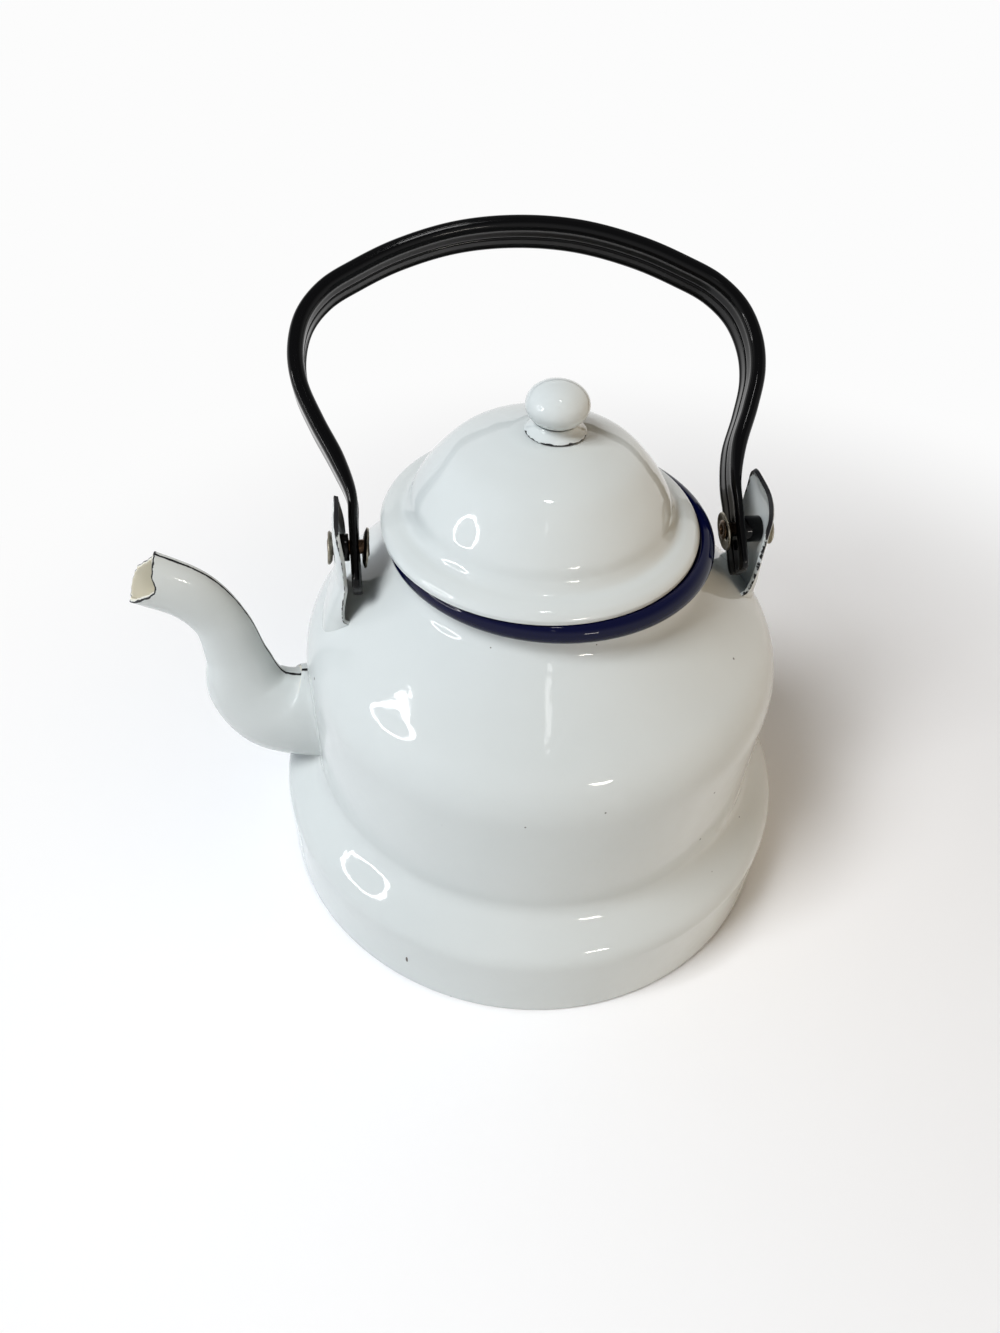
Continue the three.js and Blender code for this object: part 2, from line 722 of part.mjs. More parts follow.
// The ball, cut flat where it meets the foot, with a blind bore for its rivet. Its foot is at z = 0.
function knobBall() {
  const seat = knobSeatShare * knobFootRadius;
  const seatDrop = knobHalfHeight * Math.sqrt(1 - (seat / knobRadius) ** 2);
  const from = -Math.asin(seatDrop / knobHalfHeight);
  const round = arc(at(0, 0), 1, from, Math.PI / 2, ballSteps).map(
    (p) => at(p.x * knobRadius, p.y * knobHalfHeight + seatDrop));
  round[round.length - 1].x = 0;
  const ball = turned([at(0, 0), ...round], knobFacets);
  const bore = plainDisc(knobRivetRadius + fit, knobRivetReach + fit + overrun);
  return piece("lid_knob", cut(ball, turned(bore, smallFacets).translate(0, 0, -overrun)), enamelWhite);
}

// Washer and rivet hang below the crown; z = 0 is the crown's outer face.
function knobWasher() {
  const ring = plainRing(knobRivetRadius + fit, knobWasherRadius, sheet);
  return piece("knob_washer", turned(ring, smallFacets).translate(0, 0, -2 * sheet - fit), agedSteel);
}

function knobRivet() {
  const seat = -2 * sheet - 2 * fit;
  const tip = fit + knobFootHeight + fit + knobRivetReach;
  const head = rivetHeadShare * knobRivetRadius;
  const profile = [
    at(0, seat - sheet),
    at(rivetCrownShare * head, seat - sheet),
    at(head, seat - headRimShare * sheet),
    at(head, seat),
    at(knobRivetRadius, seat),
    at(knobRivetRadius, tip),
    at(0, tip),
  ];
  return piece("knob_rivet", turned(profile, smallFacets), agedSteel);
}

function lid() {
  const foot = knobFoot();
  const ball = knobBall();
  foot.position.z = fit;
  ball.position.z = fit + knobFootHeight + fit;
  const knob = new THREE.Group();
  knob.add(foot, ball, knobWasher(), knobRivet());
  knob.position.set(knobShift, 0, lidHeight);
  const group = new THREE.Group();
  group.add(lidShell(), lidCollar(), knob);
  group.position.set(-lidShift, 0, ringHeight + ringBead + fit);
  return group;
}

const kettle = new THREE.Group();
kettle.add(
  bodyShell(),
  basePan(),
  neckRing(),
  spoutHalf("spout_front_half", -1),
  spoutHalf("spout_back_half", 1),
  earSide("spout_side", Math.PI, spoutSpacerLength, spoutEarLean, spoutEarInset),
  earSide("back_side", 0, backSpacerLength, backEarLean, backEarInset),
  bail(),
  lid(),
);

export default kettle;
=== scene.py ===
"""Looks for an enamelled tea kettle with a stepped body, a swan-neck spout, a black bail and a lift-off lid.

Sizes in the classes are millimetres, in the kettle's own frame: +Z up, the origin in the middle of
the base, the spout towards -X and the bail leaning back to +Y. Every mesh is brought to metres when
it becomes an object.
"""

import logging
import math
from collections.abc import Callable, Sequence
from dataclasses import dataclass, field
from enum import Enum

import bmesh
import bpy
from mathutils import Matrix, Vector, noise

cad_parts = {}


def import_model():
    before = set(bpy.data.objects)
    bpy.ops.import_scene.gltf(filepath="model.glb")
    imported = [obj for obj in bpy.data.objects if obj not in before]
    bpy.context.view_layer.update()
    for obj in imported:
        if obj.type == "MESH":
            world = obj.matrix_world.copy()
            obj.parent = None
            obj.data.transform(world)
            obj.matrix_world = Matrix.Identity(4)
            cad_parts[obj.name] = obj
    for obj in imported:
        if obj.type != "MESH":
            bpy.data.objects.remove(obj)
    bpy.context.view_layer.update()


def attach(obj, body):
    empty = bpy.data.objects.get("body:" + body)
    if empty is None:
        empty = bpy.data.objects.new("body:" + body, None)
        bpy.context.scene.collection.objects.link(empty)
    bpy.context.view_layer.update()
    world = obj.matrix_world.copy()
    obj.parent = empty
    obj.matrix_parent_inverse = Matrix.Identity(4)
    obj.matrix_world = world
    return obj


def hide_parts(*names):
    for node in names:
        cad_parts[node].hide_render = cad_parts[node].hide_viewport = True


log = logging.getLogger("kettle")

MM = 0.001
Point = tuple[float, float]
Place = tuple[float, float, float]
Outline = list[Point]
Mesh = bmesh.types.BMesh
Tree = bpy.types.NodeTree
Node = bpy.types.Node
Socket = bpy.types.NodeSocket

JOINED = 1e-4  # points closer than this, in millimetres, are one


# Shapes


def arc(centre: Point, radius: float, start: float, end: float, steps: int) -> Outline:
    """Points along an arc.

    Args:
        centre: The arc's centre.
        radius: Its radius.
        start: The angle of its first point, in radians.
        end: The angle of its last point.
        steps: How many chords it has.

    Returns:
        The points, from start to end.
    """
    angles = [start + (end - start) * i / steps for i in range(steps + 1)]
    return [(centre[0] + radius * math.cos(a), centre[1] + radius * math.sin(a)) for a in angles]


def resampled(outline: Outline, spacing: float) -> Outline:
    """Divides the long stretches of an outline.

    Args:
        outline: The points.
        spacing: The longest stretch that stays whole.

    Returns:
        The same outline with more points.
    """
    points = [outline[0]]
    for start, end in zip(outline, outline[1:]):
        parts = max(1, math.ceil(math.dist(start, end) / spacing))
        points += [tuple(a + (b - a) * k / parts for a, b in zip(start, end)) for k in range(1, parts + 1)]
    return points


def mix(a: float, b: float, share: float) -> float:
    """The value at a share of the way from a to b."""
    return a + (b - a) * share


def eased(share: float) -> float:
    """A share from 0 to 1 with a soft start and end, held to that range."""
    held = min(max(share, 0.0), 1.0)
    return held * held * (3 - 2 * held)


@dataclass(frozen=True)
class Spline:
    """A Catmull-Rom curve through its points; the power of the squared spacing is 0 for a uniform one."""

    points: tuple[Vector, ...]
    power: float = 0.25

    def at(self, share: float) -> Vector:
        """A point of the curve.

        Args:
            share: From 0 at the first point to 1 at the last, even from point to point.

        Returns:
            The point.
        """
        step = share * (len(self.points) - 1)
        i = min(max(int(step), 0), len(self.points) - 2)
        t = step - i
        p1, p2 = self.points[i], self.points[i + 1]
        p0 = self.points[i - 1] if i > 0 else 2 * p1 - p2
        p3 = self.points[i + 2] if i + 2 < len(self.points) else 2 * p2 - p1
        gaps = ((p0, p1), (p1, p2), (p2, p3))
        d0, d1, d2 = (max((b - a).length_squared, 1e-9) ** self.power for a, b in gaps)
        out = ((p1 - p0) / d0 - (p2 - p0) / (d0 + d1) + (p2 - p1) / d1) * d1
        into = ((p2 - p1) / d1 - (p3 - p1) / (d1 + d2) + (p3 - p2) / d2) * d1
        bend = 2 * p1 - 2 * p2 + out + into
        turn = -3 * p1 + 3 * p2 - 2 * out - into
        return p1 + out * t + turn * t**2 + bend * t**3

    def along(self, share: float) -> Vector:
        """The curve's direction at a share of its way."""
        step = 1e-4
        return (self.at(min(share + step, 1)) - self.at(max(share - step, 0))).normalized()


def turned(outline: Outline, steps: int, closed: bool = False) -> Mesh:
    """Turns an outline of radius and height about the Z axis.

    Args:
        outline: The points, bottom to top or round a section.
        steps: How many facets go round.
        closed: Whether the last point joins the first.

    Returns:
        The mesh, its faces pointing outward.
    """
    mesh = bmesh.new()
    points = [mesh.verts.new((radius, 0, height)) for radius, height in outline]
    ends = points[1:] + points[:1] if closed else points[1:]
    line = points + [mesh.edges.new(pair) for pair in zip(points, ends)]
    bmesh.ops.spin(
        mesh, geom=line, cent=(0, 0, 0), axis=(0, 0, 1), angle=math.tau, steps=steps, use_merge=True,
    )
    bmesh.ops.remove_doubles(mesh, verts=mesh.verts[:], dist=JOINED)
    bmesh.ops.recalc_face_normals(mesh, faces=mesh.faces[:])
    widest = max(mesh.faces, key=lambda face: face.calc_center_median().xy.length)
    if widest.normal.xy.dot(widest.calc_center_median().xy) < 0:
        bmesh.ops.reverse_faces(mesh, faces=mesh.faces[:])
    return mesh


def sheet_grid(rows: int, columns: int, place: Callable[[int, int], Vector]) -> Mesh:
    """A grid whose points are moved onto a surface, with points that fall together joined.

    Args:
        rows: How many faces lie one way.
        columns: How many lie the other way.
        place: Gives a point of the surface for a row and a column.

    Returns:
        The mesh.
    """
    mesh = bmesh.new()
    bmesh.ops.create_grid(mesh, x_segments=rows, y_segments=columns, size=1)
    for point in mesh.verts:
        row = round((point.co.x + 1) / 2 * rows)
        column = round((point.co.y + 1) / 2 * columns)
        point.co = place(row, column)
    bmesh.ops.remove_doubles(mesh, verts=mesh.verts[:], dist=JOINED)
    return mesh


def face_along(mesh: Mesh, direction: Sequence[float]) -> None:
    """Turns an open sheet's faces so that they point mostly along a direction.

    Args:
        mesh: The sheet.
        direction: The way that its outer side faces.
    """
    total = sum((face.normal * face.calc_area() for face in mesh.faces), Vector())
    if total.dot(Vector(direction)) < 0:
        bmesh.ops.reverse_faces(mesh, faces=mesh.faces[:])


def punched(
    mesh: Mesh, middle: Vector, axis: Vector, radius: float, narrowing: float = 1,
) -> list[bmesh.types.BMEdge]:
    """Takes out the faces round a line and draws the hole's edge to a circle or an upright oval.

    Args:
        mesh: The mesh, in millimetres.
        middle: A point of the line. Only what lies ahead of it, along the axis, is cut.
        axis: The line's direction, in the plane of X and Z.
        radius: The hole's radius, or half its height.
        narrowing: Its width over its height.

    Returns:
        The edges round the hole.
    """
    def off_line(place: Vector) -> Vector:
        """A place's way from the line, as if the hole were round.

        Args:
            place: In the mesh's own frame.

        Returns:
            The way, square to the line.
        """
        away = place - middle
        away -= away.dot(axis) * axis
        return Vector((away.x, away.y / narrowing, away.z))

    inside = [
        face for face in mesh.faces
        if off_line(face.calc_center_median()).length < radius
        and (face.calc_center_median() - middle).dot(axis) > 0
    ]
    edges = {edge for face in inside for edge in face.edges}
    rim = {edge for edge in edges if any(face not in inside for face in edge.link_faces)}
    bmesh.ops.delete(mesh, geom=inside, context="FACES")
    for point in {point for edge in rim for point in edge.verts}:
        away = off_line(point.co)
        point.co += Vector((away.x, away.y * narrowing, away.z)) * (radius / away.length - 1)
    return list(rim)


def thickened(mesh: Mesh, thickness: float, rim: float, segments: int = 3) -> None:
    """Gives a surface its wall, inward from its faces, and rounds the wall's rims.

    Args:
        mesh: The surface.
        thickness: The wall.
        rim: How far the rounding reaches.
        segments: How many facets the rounding has.
    """
    bmesh.ops.solidify(mesh, geom=mesh.faces[:], thickness=thickness)
    rounded(mesh, rim, segments)


def rounded(mesh: Mesh, reach: float, segments: int = 2, least: float = 50) -> None:
    """Rounds the sharp edges of a mesh.

    Args:
        mesh: The mesh.
        reach: How far the rounding reaches from the edge.
        segments: How many facets it has.
        least: The smallest angle between two faces, in degrees, that is rounded.
    """
    sharp = [
        edge for edge in mesh.edges
        if len(edge.link_faces) == 2 and edge.calc_face_angle() > math.radians(least)
    ]
    bmesh.ops.bevel(
        mesh, geom=sharp, offset=reach, offset_type="OFFSET", segments=segments, profile=0.5,
        affect="EDGES", material=-1, clamp_overlap=True,
    )


def moved(mesh: Mesh, matrix: Matrix) -> Mesh:
    """Puts a mesh in place and returns it."""
    bmesh.ops.transform(mesh, matrix=matrix, verts=mesh.verts[:])
    return mesh


def painted(mesh: Mesh, name: str, shade: Callable[[Vector], float]) -> None:
    """Writes a number from 0 to 1 on each point, for a finish to read.

    Args:
        mesh: The mesh, in millimetres.
        name: The attribute's name.
        shade: Gives the number at a place.
    """
    layer = mesh.verts.layers.float.get(name) or mesh.verts.layers.float.new(name)
    for point in mesh.verts:
        point[layer] = min(max(shade(point.co), 0.0), 1.0)


# Finishes


def colour(code: str) -> tuple[float, float, float, float]:
    """Turns an sRGB hex colour to linear.

    Args:
        code: Six hex digits.

    Returns:
        Red, green, blue and an alpha of 1.
    """
    parts = [int(code[i:i + 2], 16) / 255 for i in (0, 2, 4)]
    return tuple(p / 12.92 if p <= 0.04045 else ((p + 0.055) / 1.055) ** 2.4 for p in parts) + (1.0,)


def repeats(size: float) -> float:
    """How often a pattern repeats in a metre, for its real size in millimetres."""
    return 1 / (size * MM)


def add(tree: Tree, kind: str, settings: dict | None = None, links: dict | None = None) -> Node:
    """Adds a node with its settings and links.

    Args:
        tree: Where it goes.
        kind: The node's type, without the ShaderNode that every type starts with.
        settings: Values by the name of a property, or by the name or number of an input.
        links: The sockets that feed its inputs, by name or number.

    Returns:
        The node.
    """
    node = tree.nodes.new("ShaderNode" + kind)
    for key, value in (settings or {}).items():
        if isinstance(key, str) and hasattr(node, key):
            setattr(node, key, value)
        else:
            node.inputs[key].default_value = value
    for key, socket in (links or {}).items():
        tree.links.new(socket, node.inputs[key])
    return node


class Finish:
    """What every finish shares: a material that is made once, under its own name."""

    name: str
    slot: str

    def material(self) -> bpy.types.Material:
        """The finish's material, made at the first call.

        Returns:
            The material.
        """
        made = bpy.data.materials.get(self.name)
        if made is None:
            made = bpy.data.materials.new(self.name)
            made.use_nodes = True
            made.node_tree.nodes.clear()
            shader = self.shader(made.node_tree)
            add(made.node_tree, "OutputMaterial", {}, {"Surface": shader.outputs[0]})
        return made

    def shader(self, tree: Tree) -> Node:
        """Builds the finish's shader in a node tree and returns it."""
        raise NotImplementedError


@dataclass(frozen=True)
class Mark:
    """A small chip or scratch in the enamel: where it is and its half sizes."""

    place: Place
    size: Place


@dataclass(frozen=True)
class WhiteEnamel(Finish):
    """White vitreous enamel, fired on pressed steel: a thick glassy coat with a faint orange peel.

    It gives the eye crisp reflections on a milky ground, fine dark specks from the firing, and
    black iron scale where an edge has lost its glass.
    """

    name: str = "white_vitreous_enamel"
    slot: str = "enamel_white"
    ground: str = "CFD3D1"
    clouded: str = "C3C8C6"
    inner: str = "D8D2BE"
    scale_black: str = "141417"
    rust: str = "4A3527"
    speck: str = "4B4640"
    gloss: float = 0.38
    glazed: float = 0.055
    bare: float = 0.5
    cloud_size: float = 45.45
    peel_size: float = 4.167
    peel_strength: float = 0.045
    chip_size: float = 2.381
    chip_depth: float = 0.3
    speck_spacing: float = 7.143
    speck_least: float = 0.6
    speck_reach: float = 0.07
    speck_strength: float = 0.8
    mark_grain: float = 1.111
    marks: tuple[Mark, ...] = ()

    def shader(self, tree: Tree) -> Node:
        """Builds glass over white with specks, marks and chipped edges.

        Args:
            tree: The material's nodes.

        Returns:
            The shader node.
        """
        place = add(tree, "TexCoord").outputs["Object"]
        # Clouds a few centimetres wide, where the coat is thinner.
        clouds = {"Scale": repeats(self.cloud_size), "Detail": 3}
        cloud = add(tree, "TexNoise", clouds, {"Vector": place}).outputs[0]
        shades = {"data_type": "RGBA", 6: colour(self.ground), 7: colour(self.clouded)}
        tone = add(tree, "Mix", shades, {0: cloud})
        inside = add(tree, "Attribute", {"attribute_name": "inside"}).outputs["Fac"]
        chips = self.chips(tree, place)
        layers = (
            (inside, self.inner), (self.specks(tree, place), self.speck),
            (self.placed_marks(tree, place), self.rust), (chips, self.scale_black),
        )
        for mask, shade in layers:
            over = {"data_type": "RGBA", 7: colour(shade)}
            tone = add(tree, "Mix", over, {0: mask, 6: tone.outputs[2]})
        # Orange peel: waves about 4 mm long and a few hundredths of a millimetre high.
        ripples = {"Scale": repeats(self.peel_size), "Detail": 1.5}
        peel = add(tree, "TexNoise", ripples, {"Vector": place}).outputs[0]
        waves = add(tree, "Bump", {"Strength": self.peel_strength, "Distance": MM}, {"Height": peel})
        sunk = add(
            tree, "Bump", {"Strength": 0.5, "Distance": self.chip_depth * MM, "invert": True},
            {"Height": chips, "Normal": waves.outputs[0]},
        )
        matt = add(tree, "MapRange", {"To Min": self.glazed, "To Max": self.bare}, {"Value": chips})
        return add(
            tree, "BsdfPrincipled", {"IOR": 1.5, "Specular IOR Level": self.gloss},
            {"Base Color": tone.outputs[2], "Roughness": matt.outputs[0], "Normal": sunk.outputs[0]},
        )

    def specks(self, tree: Tree, place: Socket) -> Socket:
        """Dark specks up to 1 mm wide, in two of five cells that are 7 mm wide.

        Args:
            tree: The material's nodes.
            place: The Object coordinates.

        Returns:
            Their mask.
        """
        cells = add(tree, "TexVoronoi", {"Scale": repeats(self.speck_spacing)}, {"Vector": place})
        pick = add(tree, "SeparateColor", {}, {"Color": cells.outputs["Color"]})
        span = {"From Min": self.speck_least, "From Max": 1, "To Max": self.speck_reach}
        reach = add(tree, "MapRange", span, {"Value": pick.outputs[0]})
        sides = {0: cells.outputs["Distance"], 1: reach.outputs[0]}
        hit = add(tree, "Math", {"operation": "LESS_THAN"}, sides)
        faint = {"operation": "MULTIPLY", 1: self.speck_strength}
        return add(tree, "Math", faint, {0: hit.outputs[0]}).outputs[0]

    def placed_marks(self, tree: Tree, place: Socket) -> Socket:
        """The marks that lie at known places.

        Args:
            tree: The material's nodes.
            place: The Object coordinates.

        Returns:
            Their mask.
        """
        grain = {"Scale": repeats(self.mark_grain), "Detail": 2}
        rough = add(tree, "TexNoise", grain, {"Vector": place}).outputs[0]
        masks = []
        for mark in self.marks:
            middle, size = [c * MM for c in mark.place], [c * MM for c in mark.size]
            lie = {"vector_type": "TEXTURE", "Location": middle, "Scale": size}
            spot = add(tree, "Mapping", lie, {"Vector": place})
            off = add(tree, "VectorMath", {"operation": "LENGTH"}, {0: spot.outputs[0]})
            torn = add(tree, "Math", {"operation": "ADD"}, {0: off.outputs["Value"], 1: rough})
            edge = add(tree, "MapRange", {"From Min": 1.6, "From Max": 1.3}, {"Value": torn.outputs[0]})
            masks.append(edge.outputs[0])
        mask = masks[0]
        for other in masks[1:]:
            mask = add(tree, "Math", {"operation": "MAXIMUM"}, {0: mask, 1: other}).outputs[0]
        return mask

    def chips(self, tree: Tree, place: Socket) -> Socket:
        """Bare scale along worn edges: the wear attribute broken up by noise.

        Args:
            tree: The material's nodes.
            place: The Object coordinates.

        Returns:
            Their mask.
        """
        wear = add(tree, "Attribute", {"attribute_name": "wear"}).outputs["Fac"]
        ragged = {"Scale": repeats(self.chip_size), "Detail": 3, "Roughness": 0.6}
        grain = add(tree, "TexNoise", ragged, {"Vector": place}).outputs[0]
        broken = add(tree, "Math", {"operation": "ADD"}, {0: wear, 1: grain}).outputs[0]
        return add(tree, "MapRange", {"From Min": 1.08, "From Max": 1.16}, {"Value": broken}).outputs[0]


@dataclass(frozen=True)
class PaintedEnamel(Finish):
    """Dark vitreous enamel over a rolled edge or a folded strip: deep, wet-looking and even.

    It gives the eye long thin reflections on near black, and a dull grey where it has rubbed off.
    """

    name: str
    slot: str
    ground: str
    rubbed: str
    roughness: float
    gloss: float
    rubbed_roughness: float = 0.5
    rub_size: float = 2
    run_size: float = 3.125
    run_strength: float = 0.008
    patch_size: float = 16.67

    def shader(self, tree: Tree) -> Node:
        """Builds a dark glassy coat with rubbed places.

        Args:
            tree: The material's nodes.

        Returns:
            The shader node.
        """
        place = add(tree, "TexCoord").outputs["Object"]
        wear = add(tree, "Attribute", {"attribute_name": "wear"}).outputs["Fac"]
        rubs = {"Scale": repeats(self.rub_size), "Detail": 3}
        grain = add(tree, "TexNoise", rubs, {"Vector": place}).outputs[0]
        broken = add(tree, "Math", {"operation": "ADD"}, {0: wear, 1: grain}).outputs[0]
        bare = add(tree, "MapRange", {"From Min": 1, "From Max": 1.25}, {"Value": broken}).outputs[0]
        shades = {"data_type": "RGBA", 6: colour(self.ground), 7: colour(self.rubbed)}
        tone = add(tree, "Mix", shades, {0: bare})
        # Waves about 3 mm long where the coat ran before it was fired.
        drips = {"Scale": repeats(self.run_size), "Detail": 1}
        runs = add(tree, "TexNoise", drips, {"Vector": place}).outputs[0]
        waves = add(tree, "Bump", {"Strength": self.run_strength, "Distance": MM}, {"Height": runs})
        # Patches nearly 2 cm wide that fired a little glossier or duller.
        broad = {"Scale": repeats(self.patch_size), "Detail": 2}
        patches = add(tree, "TexNoise", broad, {"Vector": place}).outputs[0]
        spread = {"To Min": self.roughness * 0.7, "To Max": self.roughness * 1.3}
        gloss = add(tree, "MapRange", spread, {"Value": patches})
        matt = add(tree, "Mix", {3: self.rubbed_roughness}, {0: bare, 2: gloss.outputs[0]})
        return add(
            tree, "BsdfPrincipled", {"IOR": 1.5, "Specular IOR Level": self.gloss},
            {"Base Color": tone.outputs[2], "Roughness": matt.outputs[0], "Normal": waves.outputs[0]},
        )


@dataclass(frozen=True)
class AgedMetal(Finish):
    """Stamped or headed bare metal, dulled by handling and steam.

    It gives the eye a soft grey or brown sheen with darker stains and fine scuffs.
    """

    name: str
    slot: str
    bright: str
    stained: str
    roughness: float = 0.3
    stain_size: float = 2.857
    scuff_size: float = 0.4
    scuff_depth: float = 0.2

    def shader(self, tree: Tree) -> Node:
        """Builds a stained metal.

        Args:
            tree: The material's nodes.

        Returns:
            The shader node.
        """
        place = add(tree, "TexCoord").outputs["Object"]
        # Stains 2 to 4 mm wide.
        stains = {"Scale": repeats(self.stain_size), "Detail": 4}
        stain = add(tree, "TexNoise", stains, {"Vector": place}).outputs[0]
        spread = add(tree, "MapRange", {"From Min": 0.35, "From Max": 0.65}, {"Value": stain}).outputs[0]
        shades = {"data_type": "RGBA", 6: colour(self.bright), 7: colour(self.stained)}
        tone = add(tree, "Mix", shades, {0: spread})
        dulled = {"To Min": self.roughness * 0.8, "To Max": self.roughness * 1.4}
        matt = add(tree, "MapRange", dulled, {"Value": spread})
        # Scuffs a few tenths of a millimetre wide.
        scuffs = {"Scale": repeats(self.scuff_size), "Detail": 2}
        scuff = add(tree, "TexNoise", scuffs, {"Vector": place}).outputs[0]
        worn = add(tree, "Bump", {"Strength": 0.15, "Distance": self.scuff_depth * MM}, {"Height": scuff})
        return add(
            tree, "BsdfPrincipled", {"Metallic": 1.0},
            {"Base Color": tone.outputs[2], "Roughness": matt.outputs[0], "Normal": worn.outputs[0]},
        )


WHITE = WhiteEnamel(marks=(
    Mark((-49.4, -71.6, 13.2), (0.4, 0.4, 1.6)),
))
BLUE = PaintedEnamel(
    "blue_vitreous_enamel", "enamel_blue", ground="03062A", rubbed="10143A", roughness=0.05, gloss=0.2,
)
BLACK = PaintedEnamel(
    "black_stove_enamel", "enamel_black", ground="020203", rubbed="2A2A2A", roughness=0.07, gloss=0.16,
)
STEEL = AgedMetal("aged_stamped_steel", "aged_steel", bright="A9A394", stained="6C6558")
COPPER = AgedMetal("headed_copper_rivet", "copper_shank", bright="7E6650", stained="3F3026")


class Part(Enum):
    """The bodies that move by themselves."""

    KETTLE = "kettle"
    BAIL = "bail"
    LID = "lid"


def deliver(mesh: Mesh, name: str, finish: Finish, part: Part, smooth: float = 60) -> None:
    """Makes a mesh an object that stands for the node of its name.

    Args:
        mesh: The mesh, in millimetres and in place.
        name: The node's name. The object's name ends in _skin.
        finish: What it is coated with.
        part: The body that it rides on.
        smooth: Edges sharper than this many degrees stay sharp.
    """
    bmesh.ops.scale(mesh, vec=(MM, MM, MM), verts=mesh.verts[:])
    data = bpy.data.meshes.new(name + "_skin")
    mesh.to_mesh(data)
    mesh.free()
    data.shade_smooth()
    data.set_sharp_from_angle(angle=math.radians(smooth))
    data.materials.append(finish.material())
    piece = bpy.data.objects.new(name + "_skin", data)
    bpy.context.scene.collection.objects.link(piece)
    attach(piece, part.value)
    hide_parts(name)
    log.info("%s: %d faces, %s", piece.name, len(data.polygons), finish.name)


# The kettle's pieces


@dataclass
class Body:
    """The drawn shell, its base pan and the rolled ring round the mouth."""

    drum_radius: float = 87
    drum_wall: float = 21
    drum_top: float = 47
    waist_radius: float = 75
    waist_top: float = 80.8
    shoulder_round: float = 25
    shoulder_slope: float = math.radians(41)
    neck_radius: float = 44.6
    neck_hollow: float = 7
    neck_length: float = 1.3
    foot_gap: float = 0.5
    sheet: float = 1.2
    fit: float = 0.3
    pan_flange: float = 9
    pan_corner: float = 5
    ring_bead: float = 3.1
    ring_outset: float = 0.3
    ring_sleeve: float = 12
    edge_round: float = 0.45
    small_round: float = 0.3
    bend_steps: int = 32
    bend_flat_share: float = 0.12
    shoulder_steps: int = 14
    hollow_steps: int = 10
    corner_steps: int = 8
    bead_steps: int = 28
    point_spacing: float = 2.2
    pan_spacing: float = 8
    facets: int = 176
    skin: Outline = field(default_factory=list)

    def __post_init__(self) -> None:
        """Works out the shell's outline once."""
        self.skin = resampled(self.outline(), self.point_spacing)

    def outline(self) -> Outline:
        """The shell's outer side, from its foot to its mouth.

        Returns:
            Points of radius and height.
        """
        step = self.drum_radius - self.waist_radius
        rise = self.drum_top - self.drum_wall
        # The step is drawn tighter than an even curve: flat for an eighth of its rise at either end.
        bend = []
        for i in range(self.bend_steps + 1):
            share = i / self.bend_steps
            t = min(max((share - self.bend_flat_share) / (1 - 2 * self.bend_flat_share), 0), 1)
            inward = step * t**3 * (6 * t**2 - 15 * t + 10)
            bend.append((self.drum_radius - inward, self.drum_wall + rise * share))
        end = math.pi / 2 - self.shoulder_slope
        middle = (self.waist_radius - self.shoulder_round, self.waist_top)
        shoulder = arc(middle, self.shoulder_round, 0, end, self.shoulder_steps)
        hollow_x = self.neck_radius + self.neck_hollow
        start_x = hollow_x - self.neck_hollow * math.sin(self.shoulder_slope)
        slope_rise = (shoulder[-1][0] - start_x) * math.tan(self.shoulder_slope)
        hollow_z = shoulder[-1][1] + slope_rise + self.neck_hollow * math.cos(self.shoulder_slope)
        hollow_middle = (hollow_x, hollow_z)
        hollow = arc(hollow_middle, self.neck_hollow, math.pi + end, math.pi, self.hollow_steps)
        foot, mouth = (self.drum_radius, self.foot_gap), (self.neck_radius, hollow_z + self.neck_length)
        return [foot, *bend, *shoulder, *hollow, mouth]

    @property
    def ring_height(self) -> float:
        """The height of the middle of the ring's bead."""
        return self.skin[-1][1] + self.fit + math.sqrt(self.ring_bead**2 - self.ring_outset**2)

    def skin_radius(self, height: float) -> float:
        """The shell's outer radius at a height.

        Args:
            height: Above the table.

        Returns:
            The radius.
        """
        for (r0, z0), (r1, z1) in zip(self.skin, self.skin[1:]):
            if z0 <= height <= z1 and z1 > z0:
                return mix(r0, r1, (height - z0) / (z1 - z0))
        return self.skin[0][0] if height < self.skin[0][1] else self.skin[-1][0]

    def build(self, spout: "Spout") -> None:
        """Builds the three pieces.

        Args:
            spout: Its root gives the hole in the shell.
        """
        shell = turned(self.skin, self.facets)
        root = spout.station(spout.wall_share)
        middle = Vector((0, 0, root.centre.z))
        high, wide = root.radius - self.sheet, spout.oval * root.radius - self.sheet
        rim = punched(shell, middle, Vector((-1, 0, 0)), high, wide / high)
        for point in {point for edge in rim for point in edge.verts}:
            point.co.x = -math.sqrt(self.skin_radius(point.co.z) ** 2 - point.co.y**2)
        thickened(shell, self.sheet, self.edge_round)
        deliver(shell, "body_shell", WHITE, Part.KETTLE)
        self.build_pan()
        self.build_ring()

    def build_pan(self) -> None:
        """Builds the base pan with its flange turned up inside the drum."""
        radius = self.drum_radius - self.sheet - self.fit
        middle = (radius - self.pan_corner, self.pan_corner)
        corner = arc(middle, self.pan_corner, -math.pi / 2, 0, self.corner_steps)
        outline = resampled([(0, 0), *corner, (radius, self.pan_flange)], self.pan_spacing)
        pan = turned(outline, self.facets)
        thickened(pan, self.sheet, self.small_round)
        deliver(pan, "base_pan", WHITE, Part.KETTLE)

    def build_ring(self) -> None:
        """Builds the bead with its sleeve inside the neck."""
        outer = self.neck_radius - self.sheet - self.fit
        inner = outer - self.sheet
        middle = (self.neck_radius + self.ring_outset, self.ring_height)
        low = -math.acos((outer - middle[0]) / self.ring_bead)
        high = math.acos((inner - middle[0]) / self.ring_bead)
        foot = self.ring_height - self.ring_sleeve
        bead = arc(middle, self.ring_bead, low, high, self.bead_steps)
        section = [(inner, foot), (outer, foot), *bead]
        ring = turned(section, self.facets, closed=True)
        rounded(ring, self.small_round, least=60)
        deliver(ring, "neck_ring", BLUE, Part.KETTLE)


